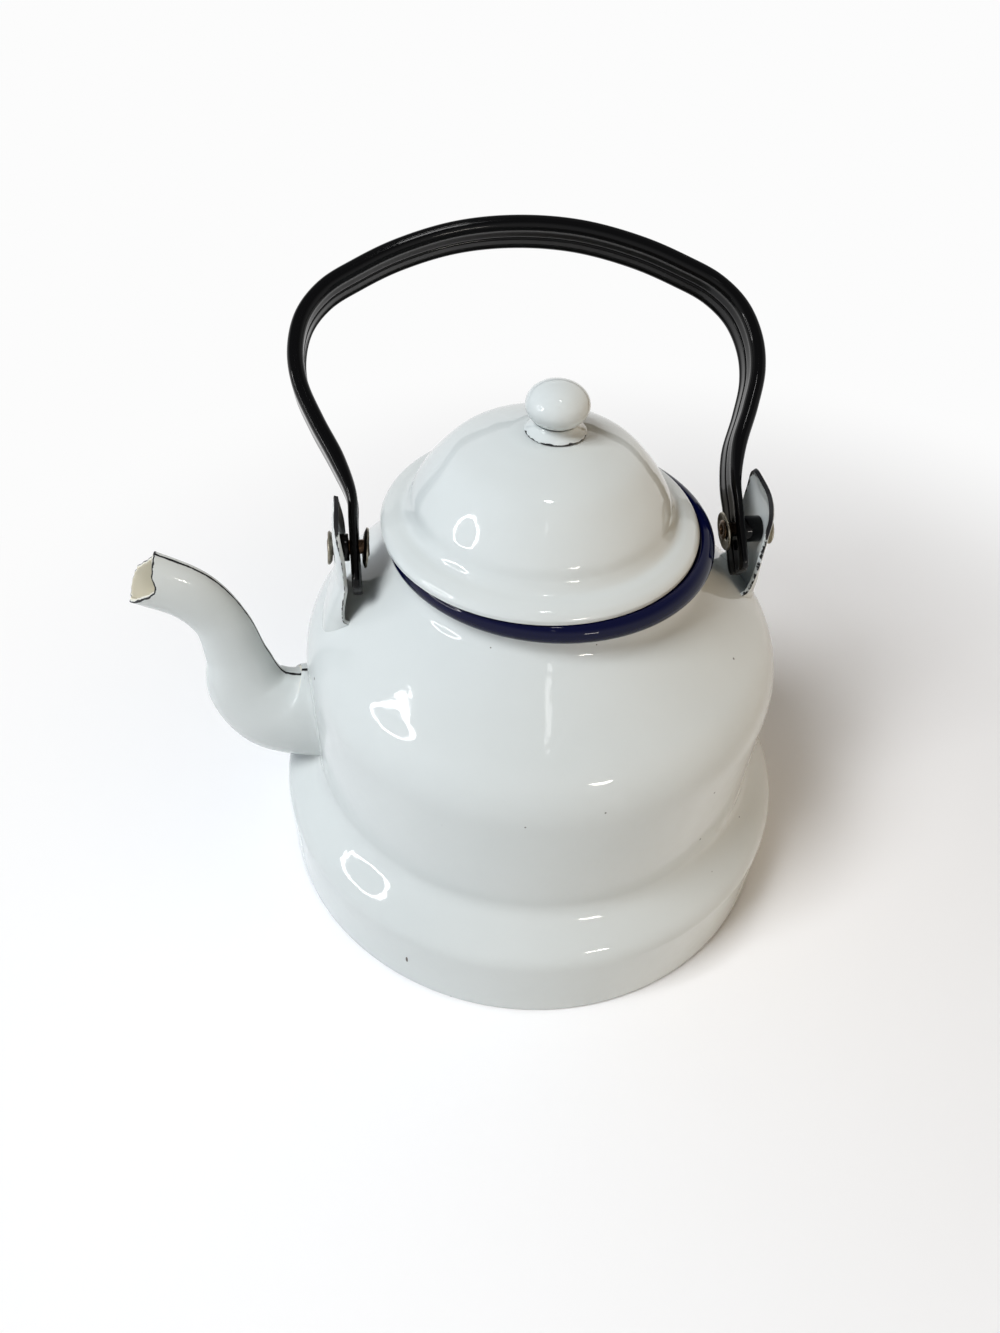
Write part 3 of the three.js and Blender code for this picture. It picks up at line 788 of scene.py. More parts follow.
@dataclass(frozen=True)
class Station:
    """One place along the spout: its middle, direction, upward normal and half the tube's height."""

    centre: Vector
    along: Vector
    up: Vector
    radius: float


@dataclass
class Spout:
    """The swan-neck spout, two stamped halves with a seam along the top and the bottom."""

    root_radius: float = 19.4
    tip_radius: float = 9.4
    oval: float = 0.58
    reach: float = 119
    root_inset: float = 15
    root_height: float = 55.3
    rise: float = 61.8
    seam: float = 0.3
    sheet: float = 1.2
    path: tuple[tuple[float, float, float], ...] = (
        (0, 0, 1), (0.305, 0.011, 0.98), (0.458, 0.062, 0.84), (0.58, 0.213, 0.44), (0.617, 0.451, 0.02),
        (0.661, 0.68, -0.1), (0.776, 0.855, -0.04), (0.975, 0.975, 0), (1.1, 1.04, 0),
    )
    wall_share: float = 0.26
    mouth_share: float = 0.885
    front_edge: tuple[Point, ...] = (
        (-0.06, 1), (-0.12, 0.8), (-0.2, 0.5), (-0.43, 0.2), (-0.47, 0.02), (-0.32, -0.3), (-0.12, -0.62),
        (0, -0.85), (0.03, -1),
    )
    back_edge: tuple[Point, ...] = (
        (-0.06, 1), (-0.18, 0.8), (-0.12, 0.5), (-0.06, 0.3), (0.06, 0.1), (0.15, -0.15), (0.17, -0.5),
        (0.11, -0.8), (0.03, -1),
    )
    root_span: Point = (0.05, 0.6)
    mouth_span: Point = (0.75, 1)
    crease: Place = (-78, 0, 74.5)
    crease_reach: float = 10
    crease_passes: int = 12
    weld_depth: float = 0.3
    weld_flare: float = 0.6
    weld_reach: float = 1.6
    edge_round: float = 0.25
    # How far the black of the seam reaches at the mouth and at the root, and over what length it changes.
    seam_bare: Point = (0.8, 0.55)
    seam_change: float = 40
    mouth_bare: float = 1.2
    most_wear: float = 0.95
    # The mouth's edge is uneven by noise of these heights, each with its waves per millimetre.
    unevenness: tuple[Point, ...] = ((0.5, 0.8), (0.25, 2.1))
    # Shares of the sheet's thickness: what is deeper is stained as the inside, or keeps its coat.
    inside_from: float = 0.55
    bare_to: float = 0.7
    rows: int = 96
    row_power: float = 1.15
    columns: int = 28
    sample_count: int = 80
    samples: list[Station] = field(default_factory=list)

    def __post_init__(self) -> None:
        """Works out evenly spaced stations once."""
        self.samples = [self.station(i / self.sample_count) for i in range(self.sample_count + 1)]

    def station(self, share: float) -> Station:
        """A place along the spout.

        Args:
            share: Of its path, from inside the shell to past the mouth.

        Returns:
            The station.
        """
        root = Body.waist_radius - self.root_inset
        out, low = self.reach - root, self.root_height
        points = [Vector((-root - out * away, 0, low + self.rise * up)) for away, up, _ in self.path]
        curve = Spline(tuple(points))
        step = share * (len(self.path) - 1)
        i = min(int(step), len(self.path) - 2)
        # The girth changes evenly between the path's points, eased a little where they meet.
        girths = Spline(tuple(Vector((girth, 0, 0)) for _, _, girth in self.path), 0)
        girth = mix(mix(self.path[i][2], self.path[i + 1][2], step - i), girths.at(share).x, 0.5)
        along = curve.along(share)
        radius = mix(self.tip_radius, self.root_radius, girth)
        return Station(curve.at(share), along, Vector((along.z, 0, -along.x)), radius)

    def surface(self, share: float, angle: float, side: int, grow: float = 0) -> Vector:
        """A point of one half's outer side.

        Args:
            share: Of the path.
            angle: Round the tube, from -90 degrees at its underside to 90 at its top.
            side: 1 for the half towards +Y and -1 for the other.
            grow: How far the point stands off the tube.

        Returns:
            The point.
        """
        at = self.station(share)
        across = side * (self.seam / 2 + (self.oval * at.radius + grow) * math.cos(angle))
        return at.centre + at.up * ((at.radius + grow) * math.sin(angle)) + Vector((0, across, 0))

    def off_mouth(self, place: Vector) -> float:
        """How far a place lies behind the mouth's edge.

        Args:
            place: In millimetres.

        Returns:
            The distance along the tube, negative past the edge.
        """
        mouth = self.station(self.mouth_share)
        away = place - mouth.centre
        height = away.dot(mouth.up) / self.tip_radius
        edge = self.front_edge if place.y < 0 else self.back_edge
        ragged = sum(high * noise.noise(place * often) for high, often in self.unevenness)
        return self.edge_at(edge, height) * self.tip_radius + ragged - away.dot(mouth.along)

    @staticmethod
    def edge_at(edge: tuple[Point, ...], height: float) -> float:
        """Where a half's mouth edge lies along the tube, as a share of the tip's radius.

        Args:
            edge: The shares along the tube by the shares across it.
            height: Across the tube, from 1 at the top to -1 at the lip.

        Returns:
            The share.
        """
        for (a0, u0), (a1, u1) in zip(edge, edge[1:]):
            if u0 >= height >= u1:
                return mix(a0, a1, (u0 - height) / (u0 - u1))
        return edge[0][0] if height > 0 else edge[-1][0]

    @staticmethod
    def crossing(test: Callable[[float], float], low: float, high: float) -> float:
        """The value at which a test that is negative at low turns positive.

        Args:
            test: The function.
            low: A value where it is negative.
            high: A value where it is positive.

        Returns:
            The value between them where it is zero.
        """
        for _ in range(24):
            middle = (low + high) / 2
            low, high = (middle, high) if test(middle) < 0 else (low, middle)
        return (low + high) / 2

    def build(self, body: Body) -> None:
        """Builds both halves, from the shell's skin to the mouth.

        Args:
            body: The shell that they stand on.
        """
        angles = [math.pi * j / self.columns - math.pi / 2 for j in range(self.columns + 1)]
        for name, side in (("spout_front_half", -1), ("spout_back_half", 1)):
            starts = [
                self.crossing(lambda s: self.beyond_skin(body, s, a, side), *self.root_span) for a in angles
            ]
            ends = [
                self.crossing(lambda s: -self.off_mouth(self.surface(s, a, side)), *self.mouth_span)
                for a in angles
            ]

            def place(row: int, column: int) -> Vector:
                """A point of the half, with rows closer together near the root.

                Args:
                    row: Counted from the root.
                    column: Counted from the underside.

                Returns:
                    The point.
                """
                share = mix(starts[column], ends[column], (row / self.rows) ** self.row_power)
                angle = angles[column]
                off = (self.surface(share, angle, side) - self.surface(starts[column], angle, side)).length
                flare = self.weld_flare * math.exp(-off / self.weld_reach) * eased(2 * math.cos(angle) - 0.5)
                return self.surface(share, angle, side, flare)

            half = sheet_grid(self.rows, self.columns, place)
            self.smooth_crease(half, body)
            face_along(half, (0, side, 0))
            thickened(half, self.sheet, self.edge_round, 2)
            painted(half, "wear", self.wear)
            painted(half, "inside", lambda p: float(self.depth(p) > self.sheet * self.inside_from))
            deliver(half, name, WHITE, Part.KETTLE)

    def smooth_crease(self, half: Mesh, body: Body) -> None:
        """Smooths the top of the root, where the tight bend would fold the sheet.

        Args:
            half: One half's outer side.
            body: The shell, whose joint with the spout stays in place.
        """
        middle = Vector(self.crease)
        near = [point for point in half.verts if (point.co - middle).length < self.crease_reach]
        free = [point for point in near if point.co.xy.length > body.skin_radius(point.co.z) + body.fit]
        # Points never move across, so the seam stays straight.
        for _ in range(self.crease_passes):
            bmesh.ops.smooth_vert(half, verts=near, factor=0.5, use_axis_z=True)
            bmesh.ops.smooth_vert(half, verts=free, factor=0.5, use_axis_x=True)

    def beyond_skin(self, body: Body, share: float, angle: float, side: int) -> float:
        """How far a point of the tube stands outside the shell's skin, less a weld's depth."""
        place = self.surface(share, angle, side)
        return place.xy.length - body.skin_radius(place.z) + self.weld_depth

    def depth(self, place: Vector) -> float:
        """How far a place lies inside the tube's outer side.

        Args:
            place: In millimetres.

        Returns:
            The depth.
        """
        near = min(self.samples, key=lambda at: (at.centre - place).length_squared)
        away = place - near.centre
        return near.radius - math.hypot(away.y / self.oval, away.dot(near.up))

    def wear(self, place: Vector) -> float:
        """How bare an edge is: the seam along the tube and the ragged mouth.

        Args:
            place: In millimetres.

        Returns:
            The wear, 0 on the tube's inner side.
        """
        if self.depth(place) > self.sheet * self.bare_to:
            return 0.0
        off = self.off_mouth(place)
        reach = mix(*self.seam_bare, eased(off / self.seam_change))
        seam = 1 - (abs(place.y) - self.seam / 2) / reach
        return max(seam * self.most_wear, self.most_wear - off / self.mouth_bare)


@dataclass
class PivotEnd:
    """One end of the bail's pivot: the ear, its washers, the spacer and the rivet."""

    body: Body
    side: str
    turn: float
    spacer_length: float
    # The ear leans in towards its top and its foot stands inside the waist's radius.
    lean: float
    lean_power: float
    inset: float
    top_power: float
    # How far the ear's edge has lost its coat on either face, and above what share of its rise it is worst.
    # On the edge itself the wear goes from the first share of bare_span to the second.
    bare_inner: float
    bare_outer: float
    bare_from: float
    bare_span: Point = (0.7, 0.95)
    bare_change: float = 4
    bare_edge: float = 0.25
    pivot_drop: float = 3.5
    pivot_outset: float = 12.1
    strap: float = 2.7
    half_width: float = 10.8
    side_shift: float = 1.6
    rise: float = 16.8
    drop: float = 33
    edge_drop: float = 19
    flat: float = 6.5
    dish: float = 6.8
    pivot_dish: float = 2.4
    flare_power: float = 1.3
    dish_power: float = 4
    rise_power: float = 0.35
    rivet_radius: float = 2.1
    head_radius: float = 3
    head_height: float = 0.4
    recess_radius: float = 1.5
    recess_depth: float = 2.5
    outer_washer: float = 5
    outer_thickness: float = 0.8
    outer_lean: float = math.radians(5)
    spacer_radius: float = 4
    inner_washer: float = 6
    inner_thickness: float = 0.7
    inner_dish: float = 0.7
    inner_lean: float = math.radians(8)
    standoff: float = 1
    play: float = 0.7
    weld_depth: float = 0.2
    ear_round: float = 0.42
    outer_round: float = 0.25
    spacer_round: float = 0.4
    inner_round: float = 0.22
    rivet_round: float = 0.14
    # Washers are outlines of shares: out along the radius, and of the dish.
    outer_shares: tuple[Point, ...] = ((0.6, 0), (0.75, 0.11), (0.86, 0.364), (0.95, 0.727), (1, 1))
    inner_shares: tuple[Point, ...] = ((0.62, 0), (0.73, 0.12), (0.82, 0.4), (0.92, 0.72), (1, 1))
    outer_dish: float = 1.1
    rows: int = 60
    columns: int = 30

    @property
    def pivot_height(self) -> float:
        """The height of the bail's pivot line."""
        return self.body.ring_height - self.pivot_drop

    @property
    def pivot_reach(self) -> float:
        """From the kettle's axis to the middle of the strap."""
        return self.body.neck_radius + self.body.ring_outset + self.pivot_outset

    @property
    def spacer_seat(self) -> float:
        """Where the spacer starts, just outside the strap."""
        return self.pivot_reach + self.strap / 2 + self.body.fit

    @property
    def ear_reach(self) -> float:
        """From the kettle's axis to the ear's outer face at the pivot."""
        return self.spacer_seat + self.spacer_length + self.body.fit + self.body.sheet

    @property
    def inner_seat(self) -> float:
        """The inner face of the rivet's inner head."""
        return self.pivot_reach - self.strap / 2 - self.standoff - self.inner_thickness - self.play

    def outer(self, height: float) -> float:
        """How far out the middle of the ear's outer face stands.

        Args:
            height: Above the pivot.

        Returns:
            The distance from the kettle's axis.
        """
        if height < -self.flat:
            share = (height + self.flat) / (self.flat - self.drop)
            foot = self.body.waist_radius - self.inset
            return self.ear_reach + (foot - self.ear_reach) * (1 - (1 - share) ** self.flare_power)
        share = max(height - self.flat, 0) / (self.rise - self.flat)
        return self.ear_reach - self.lean * share**self.lean_power

    def surface(self, across: float, height: float) -> Vector:
        """A point of the ear's outer face, before it is moved to its side.

        Args:
            across: From its middle line.
            height: Above the pivot.

        Returns:
            The point.
        """
        share = min(max((height + self.edge_drop) / (self.edge_drop - self.flat), 0), 1)
        deep = mix(self.dish, self.pivot_dish, share**self.rise_power)
        dish = deep * (abs(across) / self.half_width) ** self.dish_power
        return Vector((self.outer(height) - dish, across + self.side_shift, self.pivot_height + height))

    def width(self, height: float) -> float:
        """Half the ear's width at a height above the pivot."""
        power = self.top_power
        return self.half_width * max(1 - (max(height, 0) / self.rise) ** power, 0) ** (1 / power)

    def build(self) -> None:
        """Builds the ear and what is strung on its rivet."""
        self.build_ear()
        self.build_outer_washer()
        self.build_spacer()
        self.build_inner_washer()
        self.build_rivet()

    def build_ear(self) -> None:
        """Builds the dished lug, welded to the shoulder and chipped along its edges."""
        def place(row: int, column: int) -> Vector:
            """A point of the lug, from its foot on the shoulder to its top.

            Args:
                row: Counted from the foot.
                column: Counted across the lug.

            Returns:
                The point.
            """
            side = 2 * column / self.columns - 1
            across = self.half_width * side
            foot = Spout.crossing(lambda h: self.above_shoulder(across, h), -self.drop, -self.flat)
            share = row / self.rows
            height = mix(foot, self.rise, math.sin(share * math.pi / 2) if share > 0 else 0)
            return self.surface(self.width(height) * side, height)

        ear = sheet_grid(self.rows, self.columns, place)
        face_along(ear, (1, 0, 0))
        pivot = Vector((0, 0, self.pivot_height))
        punched(ear, pivot, Vector((1, 0, 0)), self.rivet_radius + self.body.fit)
        thickened(ear, self.body.sheet, self.ear_round)
        painted(ear, "wear", self.wear)
        self.deliver(ear, "ear", WHITE)

    def above_shoulder(self, across: float, height: float) -> float:
        """How far a point of the ear stands outside the shoulder, less a weld's depth."""
        place = self.surface(across, height)
        return place.xy.length - self.body.skin_radius(place.z - self.weld_depth) + self.weld_depth

    def wear(self, place: Vector) -> float:
        """How bare the ear's edge is at a place.

        Args:
            place: Before the ear is turned to its side.

        Returns:
            The wear, 1 along the edge.
        """
        across, height = abs(place.y - self.side_shift), place.z - self.pivot_height
        inward = self.half_width - across
        if height > 0:
            power = self.top_power
            reach = (across / self.half_width) ** power + (height / self.rise) ** power
            inward = self.half_width * (1 - reach ** (1 / power))
        on_inner = self.surface(across, height).x - place.x > self.body.sheet / 2
        black = mix(*self.bare_span, eased((height - self.rise * self.bare_from) / self.bare_change))
        return black - max(inward - self.bare_edge, 0) / (self.bare_inner if on_inner else self.bare_outer)

    def build_outer_washer(self) -> None:
        """Builds the cupped washer under the rivet's outer head."""
        radius, bore = self.outer_washer, self.rivet_radius + self.body.fit
        cup = turned([(bore, 0), *[(x * radius, z * self.outer_dish) for x, z in self.outer_shares]], 64)
        face_along(cup, (0, 0, -1))
        thickened(cup, self.outer_thickness, self.outer_round, 2)
        seat = Matrix.Translation((self.ear_reach + self.body.fit, 0, self.pivot_height))
        tilt = Matrix.Rotation(math.pi / 2 - self.outer_lean, 4, "Y")
        self.deliver(moved(cup, seat @ tilt), "outer_washer", STEEL)

    def build_spacer(self) -> None:
        """Builds the black collar between the ear and the strap."""
        radius, bore, length = self.spacer_radius, self.rivet_radius + self.body.fit, self.spacer_length
        spacer = turned([(bore, 0), (radius, 0), (radius, length), (bore, length)], 64, closed=True)
        rounded(spacer, self.spacer_round, 3)
        self.deliver(self.strung(spacer, self.spacer_seat), "spacer", BLACK)

    def build_inner_washer(self) -> None:
        """Builds the large dished washer, which hangs loose on the rivet inside the strap."""
        radius, bore = self.inner_washer, self.rivet_radius + self.play
        cup = turned([(bore, 0), *[(x * radius, -z * self.inner_dish) for x, z in self.inner_shares]], 72)
        face_along(cup, (0, 0, 1))
        thickened(cup, self.inner_thickness, self.inner_round, 2)
        cup = moved(cup, Matrix.Rotation(math.pi / 2, 4, "Y"))
        seat = self.pivot_reach - self.strap / 2 - self.standoff
        hung = Vector((seat, 0, self.pivot_height - self.play + self.body.fit))
        cup = moved(cup, Matrix.Translation(hung) @ Matrix.Rotation(-self.inner_lean, 4, "Y"))
        self.deliver(cup, "inner_washer", STEEL)

    def build_rivet(self) -> None:
        """Builds the rivet, hollow at both ends, with rolled heads."""
        start, end = self.inner_seat, self.ear_reach + 2 * self.body.fit + self.outer_thickness
        hollow, head, deep = self.recess_radius, self.head_radius, self.recess_depth
        crown, rim, high = 0.75 * head, 0.4 * self.head_height, self.head_height
        rivet = turned([
            (0, start + deep), (hollow, start + deep), (hollow, start - high), (crown, start - high),
            (head, start - rim), (head, start), (self.rivet_radius, start), (self.rivet_radius, end),
            (head, end), (head, end + rim), (crown, end + high), (hollow, end + high),
            (hollow, end - deep), (0, end - deep),
        ], 48)
        rounded(rivet, self.rivet_round, least=35)
        self.deliver(self.strung(rivet, 0), "rivet", COPPER)

    def strung(self, mesh: Mesh, reach: float) -> Mesh:
        """Lays a turned piece along the pivot line with its foot at a reach from the kettle's axis."""
        place = Matrix.Translation((reach, 0, self.pivot_height)) @ Matrix.Rotation(math.pi / 2, 4, "Y")
        return moved(mesh, place)

    def deliver(self, mesh: Mesh, kind: str, finish: Finish) -> None:
        """Turns a piece to this end's side and makes it an object."""
        moved(mesh, Matrix.Rotation(self.turn, 4, "Z"))
        deliver(mesh, f"{kind}_{self.side}", finish, Part.KETTLE)


@dataclass
class Bail:
    """The black strap handle, folded from sheet, with rolled edges and an open seam along its inner face."""

    end: PivotEnd
    height: float = 95.1
    half_span: float = 69.2
    sway: float = 2.6
    tail: float = 13.5
    tail_round: float = 3.5
    leg_height: float = 14
    width: float = 13.6
    thickness: float = 4.8
    leg_thickness: float = 2.7
    lean: float = math.radians(50)
    bends: tuple[Point, ...] = (
        (0.864, 0.26), (0.936, 0.383), (0.99, 0.5), (0.997, 0.606), (0.954, 0.713),
        (0.857, 0.798), (0.714, 0.862), (0.529, 0.926), (0.271, 0.982),
    )
    # Half of the section, as shares of the thickness (outward) and of the width, from the middle of
    # the outer face round the rolled edge to the seam. The small steps are its drawn ridges.
    section: tuple[Point, ...] = (
        (0.44, 0), (0.45, 0.12), (0.47, 0.24), (0.49, 0.31), (0.47, 0.37), (0.42, 0.425), (0.34, 0.462),
        (0.26, 0.48), (0.22, 0.482), (0.17, 0.491), (0.09, 0.498), (0.03, 0.5), (-0.01, 0.496),
        (-0.06, 0.499), (-0.14, 0.495), (-0.22, 0.486), (-0.3, 0.472), (-0.38, 0.45), (-0.45, 0.416),
        (-0.49, 0.375), (-0.5, 0.345), (-0.485, 0.32), (-0.445, 0.305), (-0.43, 0.29), (-0.43, 0.22),
        (-0.435, 0.15), (-0.44, 0.09), (-0.44, 0.05), (-0.425, 0.034), (-0.33, 0.03), (-0.28, 0.02),
        (-0.27, 0),
    )
    stations: int = 220
    tail_stations: int = 18

    def path(self) -> list[tuple[Vector, Vector, float]]:
        """Stations along the strap, from one tail to the other.

        Returns:
            The middle, the direction and the width at each, before the strap leans back.
        """
        reach = self.end.pivot_reach

        def arm(side: int) -> list[Vector]:
            """One side of the arch, from its leg to its crown.

            Args:
                side: 1 for the side towards +X and -1 for the other.

            Returns:
                The points, without the crown itself.
            """
            leg = [Vector((side * reach, 0, self.leg_height * share)) for share in (0.5, 1)]
            return leg + [
                Vector((side * x * self.half_span - z * self.sway, 0, z * self.height)) for x, z in self.bends
            ]

        crown = Vector((-self.sway, 0, self.height))
        curve = Spline((*arm(1), crown, *reversed(arm(-1))))
        shares = [i / self.stations for i in range(self.stations + 1)]
        arch = [(curve.at(share), curve.along(share), self.width) for share in shares]
        straight = []
        for i in range(self.tail_stations):
            z = mix(-self.tail, self.leg_height / 2, (i / self.tail_stations) ** 1.6)
            share = min((z + self.tail) / self.tail_round, 1)
            width = self.width - 2 * self.tail_round * (1 - math.sqrt(1 - (1 - share) ** 2))
            straight.append((Vector((reach, 0, z)), Vector((0, 0, 1)), width))
        other = [(Vector((-at.x, 0, at.z)), Vector((0, 0, -1)), width) for at, _, width in reversed(straight)]
        return [*straight, *arch, *other]

    def build(self) -> None:
        """Builds the strap and bores its pivot holes."""
        stations = self.path()
        ring = [*self.section, *[(out, -across) for out, across in reversed(self.section)][1:]]

        def place(row: int, column: int) -> Vector:
            """A point of the strap, which is thin at its legs and thicker along the arch.

            Args:
                row: Counted along the strap.
                column: Counted round its section.

            Returns:
                The point.
            """
            middle, along, width = stations[row]
            out, across = ring[column]
            swell = eased((middle.z - self.leg_height / 2) / (1.5 * self.leg_height))
            thickness = mix(self.leg_thickness, self.thickness, swell)
            outward = Vector((along.z, 0, -along.x))
            return middle + outward * (out * thickness) + Vector((0, across * width, 0))

        strap = sheet_grid(len(stations) - 1, len(ring) - 1, place)
        bmesh.ops.holes_fill(strap, edges=[edge for edge in strap.edges if edge.is_boundary], sides=0)
        bmesh.ops.recalc_face_normals(strap, faces=strap.faces[:])
        bore = self.end.rivet_radius + self.end.body.fit
        for side in (1, -1):
            pivot = Vector((side * self.end.pivot_reach, 0, 0))
            outer = punched(strap, pivot, Vector((side, 0, 0)), bore)
            inner = punched(strap, pivot, Vector((-side, 0, 0)), bore)
            inner = [edge for edge in inner if edge.is_valid and edge.verts[0].co.x * side > 0]
            bmesh.ops.bridge_loops(strap, edges=[*outer, *inner])
        painted(strap, "wear", lambda p: 0.7 - (p.z + self.tail) / 4)
        pivot_line = Matrix.Translation((0, 0, self.end.pivot_height))
        moved(strap, pivot_line @ Matrix.Rotation(-self.lean, 4, "X"))
        deliver(strap, "bail", BLACK, Part.BAIL, smooth=70)


@dataclass
class Knob:
    """The flattened ball on its flared foot, with the rivet and washer that hold it."""

    radius: float = 8.7
    half_height: float = 6.1
    foot_radius: float = 7.6
    foot_height: float = 2.8
    seat_share: float = 0.78
    rivet_radius: float = 2
    rivet_reach: float = 6
    washer_radius: float = 6
    foot_shares: tuple[Point, ...] = (
        (1.12, 0), (1.11, 0.07), (1.05, 0.16), (0.98, 0.28), (0.9, 0.45), (0.84, 0.62), (0.8, 0.8), (0.78, 1),
    )
    ball_steps: int = 28
    edge_round: float = 0.2
    washer_round: float = 0.25
    rivet_round: float = 0.15
    worn_reach: float = 0.9
    worn_height: float = 0.1

    def build(self, crown: Vector, body: Body) -> None:
        """Builds the four pieces.

        Args:
            crown: The middle of their seat on the lid's outer face.
            body: Gives the sheet and the clearance.
        """
        sheet, fit = body.sheet, body.fit
        bore = self.rivet_radius + fit
        profile = [(x * self.foot_radius, z * self.foot_height) for x, z in self.foot_shares]
        foot = turned([(bore, 0), *profile, (bore, self.foot_height)], 96, closed=True)
        rounded(foot, self.edge_round, least=60)
        painted(foot, "wear", lambda place: self.worn(place, facing=-1.75, most=0.85, spread=0.35))
        self.deliver(foot, "knob_foot", crown + Vector((0, 0, fit)), WHITE)

        seat = self.seat_share * self.foot_radius
        drop = self.half_height * math.sqrt(1 - (seat / self.radius) ** 2)
        start = -math.asin(drop / self.half_height)
        angles = [mix(start, math.pi / 2, i / self.ball_steps) for i in range(self.ball_steps)]
        ball = [(self.radius * math.cos(a), drop + self.half_height * math.sin(a)) for a in angles]
        depth = self.rivet_reach + fit
        globe = turned([(0, depth), (bore, depth), (bore, 0), *ball, (0, drop + self.half_height)], 112)
        rounded(globe, self.edge_round, least=60)
        painted(globe, "wear", lambda place: self.worn(place, facing=-1.15, most=0.75, spread=-0.3))
        self.deliver(globe, "lid_knob", crown + Vector((0, 0, 2 * fit + self.foot_height)), WHITE)

        rim = self.washer_radius
        washer = turned([(bore, 0), (rim, 0), (rim, sheet), (bore, sheet)], 64, closed=True)
        rounded(washer, self.washer_round)
        self.deliver(washer, "knob_washer", crown - Vector((0, 0, 2 * sheet + fit)), STEEL)

        low, tip = -2 * (sheet + fit), 2 * fit + self.foot_height + self.rivet_reach
        head = 2 * self.rivet_radius
        rivet = turned([
            (0, low - sheet), (0.7 * head, low - sheet), (head, low - 0.4 * sheet), (head, low),
            (self.rivet_radius, low), (self.rivet_radius, tip), (0, tip),
        ], 48)
        rounded(rivet, self.rivet_round, least=35)
        self.deliver(rivet, "knob_rivet", crown, STEEL)

    def worn(self, place: Vector, facing: float, most: float, spread: float) -> float:
        """Wear along a piece's lower edge, on the side that faces a direction.

        Args:
            place: Before the piece is put on the lid.
            facing: The direction's angle round the axis.
            most: The wear on the edge itself.
            spread: How far round the wear goes: half the way round at 0, less below it.

        Returns:
            The wear.
        """
        turn = math.cos(math.atan2(place.y, place.x) - facing)
        return most * eased(turn * 2 + spread) - abs(place.z - self.worn_height) / self.worn_reach

    def deliver(self, mesh: Mesh, name: str, seat: Vector, finish: Finish) -> None:
        """Puts a piece of the knob on the lid and makes it an object."""
        deliver(moved(mesh, Matrix.Translation(seat)), name, finish, Part.LID)


@dataclass
class Lid:
    """The bell-shaped lid, its collar and its knob."""

    body: Body
    overhang: float = 1.1
    height: float = 29
    collar_play: float = 3.9
    collar_gap: float = 0.6
    collar_depth: float = 11
    crown_radius: float = 9.5
    collar_round: float = 0.35
    knob_shift: float = 2.3
    side_steps: int = 90
    shares: tuple[Point, ...] = (
        (0.37, 0.93), (0.555, 0.8), (0.685, 0.6), (0.78, 0.39), (0.815, 0.25),
        (0.855, 0.165), (0.92, 0.135), (0.975, 0.095), (1, 0.04), (1, 0),
    )

    def outline(self) -> Outline:
        """The lid's outer side, from its rim to its middle.

        Returns:
            Points of radius and height.
        """
        radius = self.body.neck_radius + self.body.ring_outset + self.overhang
        bends = [Vector((x * radius, 0, z * self.height)) for x, z in self.shares]
        curve = Spline((Vector((self.crown_radius, 0, self.height)), *bends), 0)
        side = [curve.at(i / self.side_steps) for i in range(self.side_steps + 1)]
        flat = resampled([(0, self.height), (self.crown_radius, self.height)], 2)
        return [*reversed([*flat[:-1], *[(min(at.x, radius), at.z) for at in side]])]

    def build(self) -> None:
        """Builds the lid's pieces where they rest."""
        shift = self.collar_play - self.collar_gap
        seat = Vector((-shift, 0, self.body.ring_height + self.body.ring_bead + self.body.fit))
        shell = turned(self.outline(), self.body.facets)
        thickened(shell, self.body.sheet, self.body.edge_round)
        deliver(moved(shell, Matrix.Translation(seat)), "lid_shell", WHITE, Part.LID)
        outer = self.body.neck_radius - 2 * self.body.sheet - self.body.fit - self.collar_play
        inner = outer - self.body.sheet
        top = self.under(outer)
        section = [(inner, -self.collar_depth), (outer, -self.collar_depth), (outer, top), (inner, top)]
        collar = turned(section, self.body.facets, closed=True)
        rounded(collar, self.collar_round)
        deliver(moved(collar, Matrix.Translation(seat)), "lid_collar", WHITE, Part.LID)
        Knob().build(seat + Vector((self.knob_shift, 0, self.height)), self.body)

    def under(self, radius: float) -> float:
        """The height of the lid's inner face at a radius, less the clearance.

        Args:
            radius: From the lid's axis.

        Returns:
            The height above its rim.
        """
        outline = self.outline()
        for (r1, z1), (r0, z0) in zip(outline, outline[1:]):
            if r0 <= radius <= r1 and r1 > r0:
                return mix(z0, z1, (radius - r0) / (r1 - r0)) - 2.2 * self.body.sheet
        return 0


# Studio


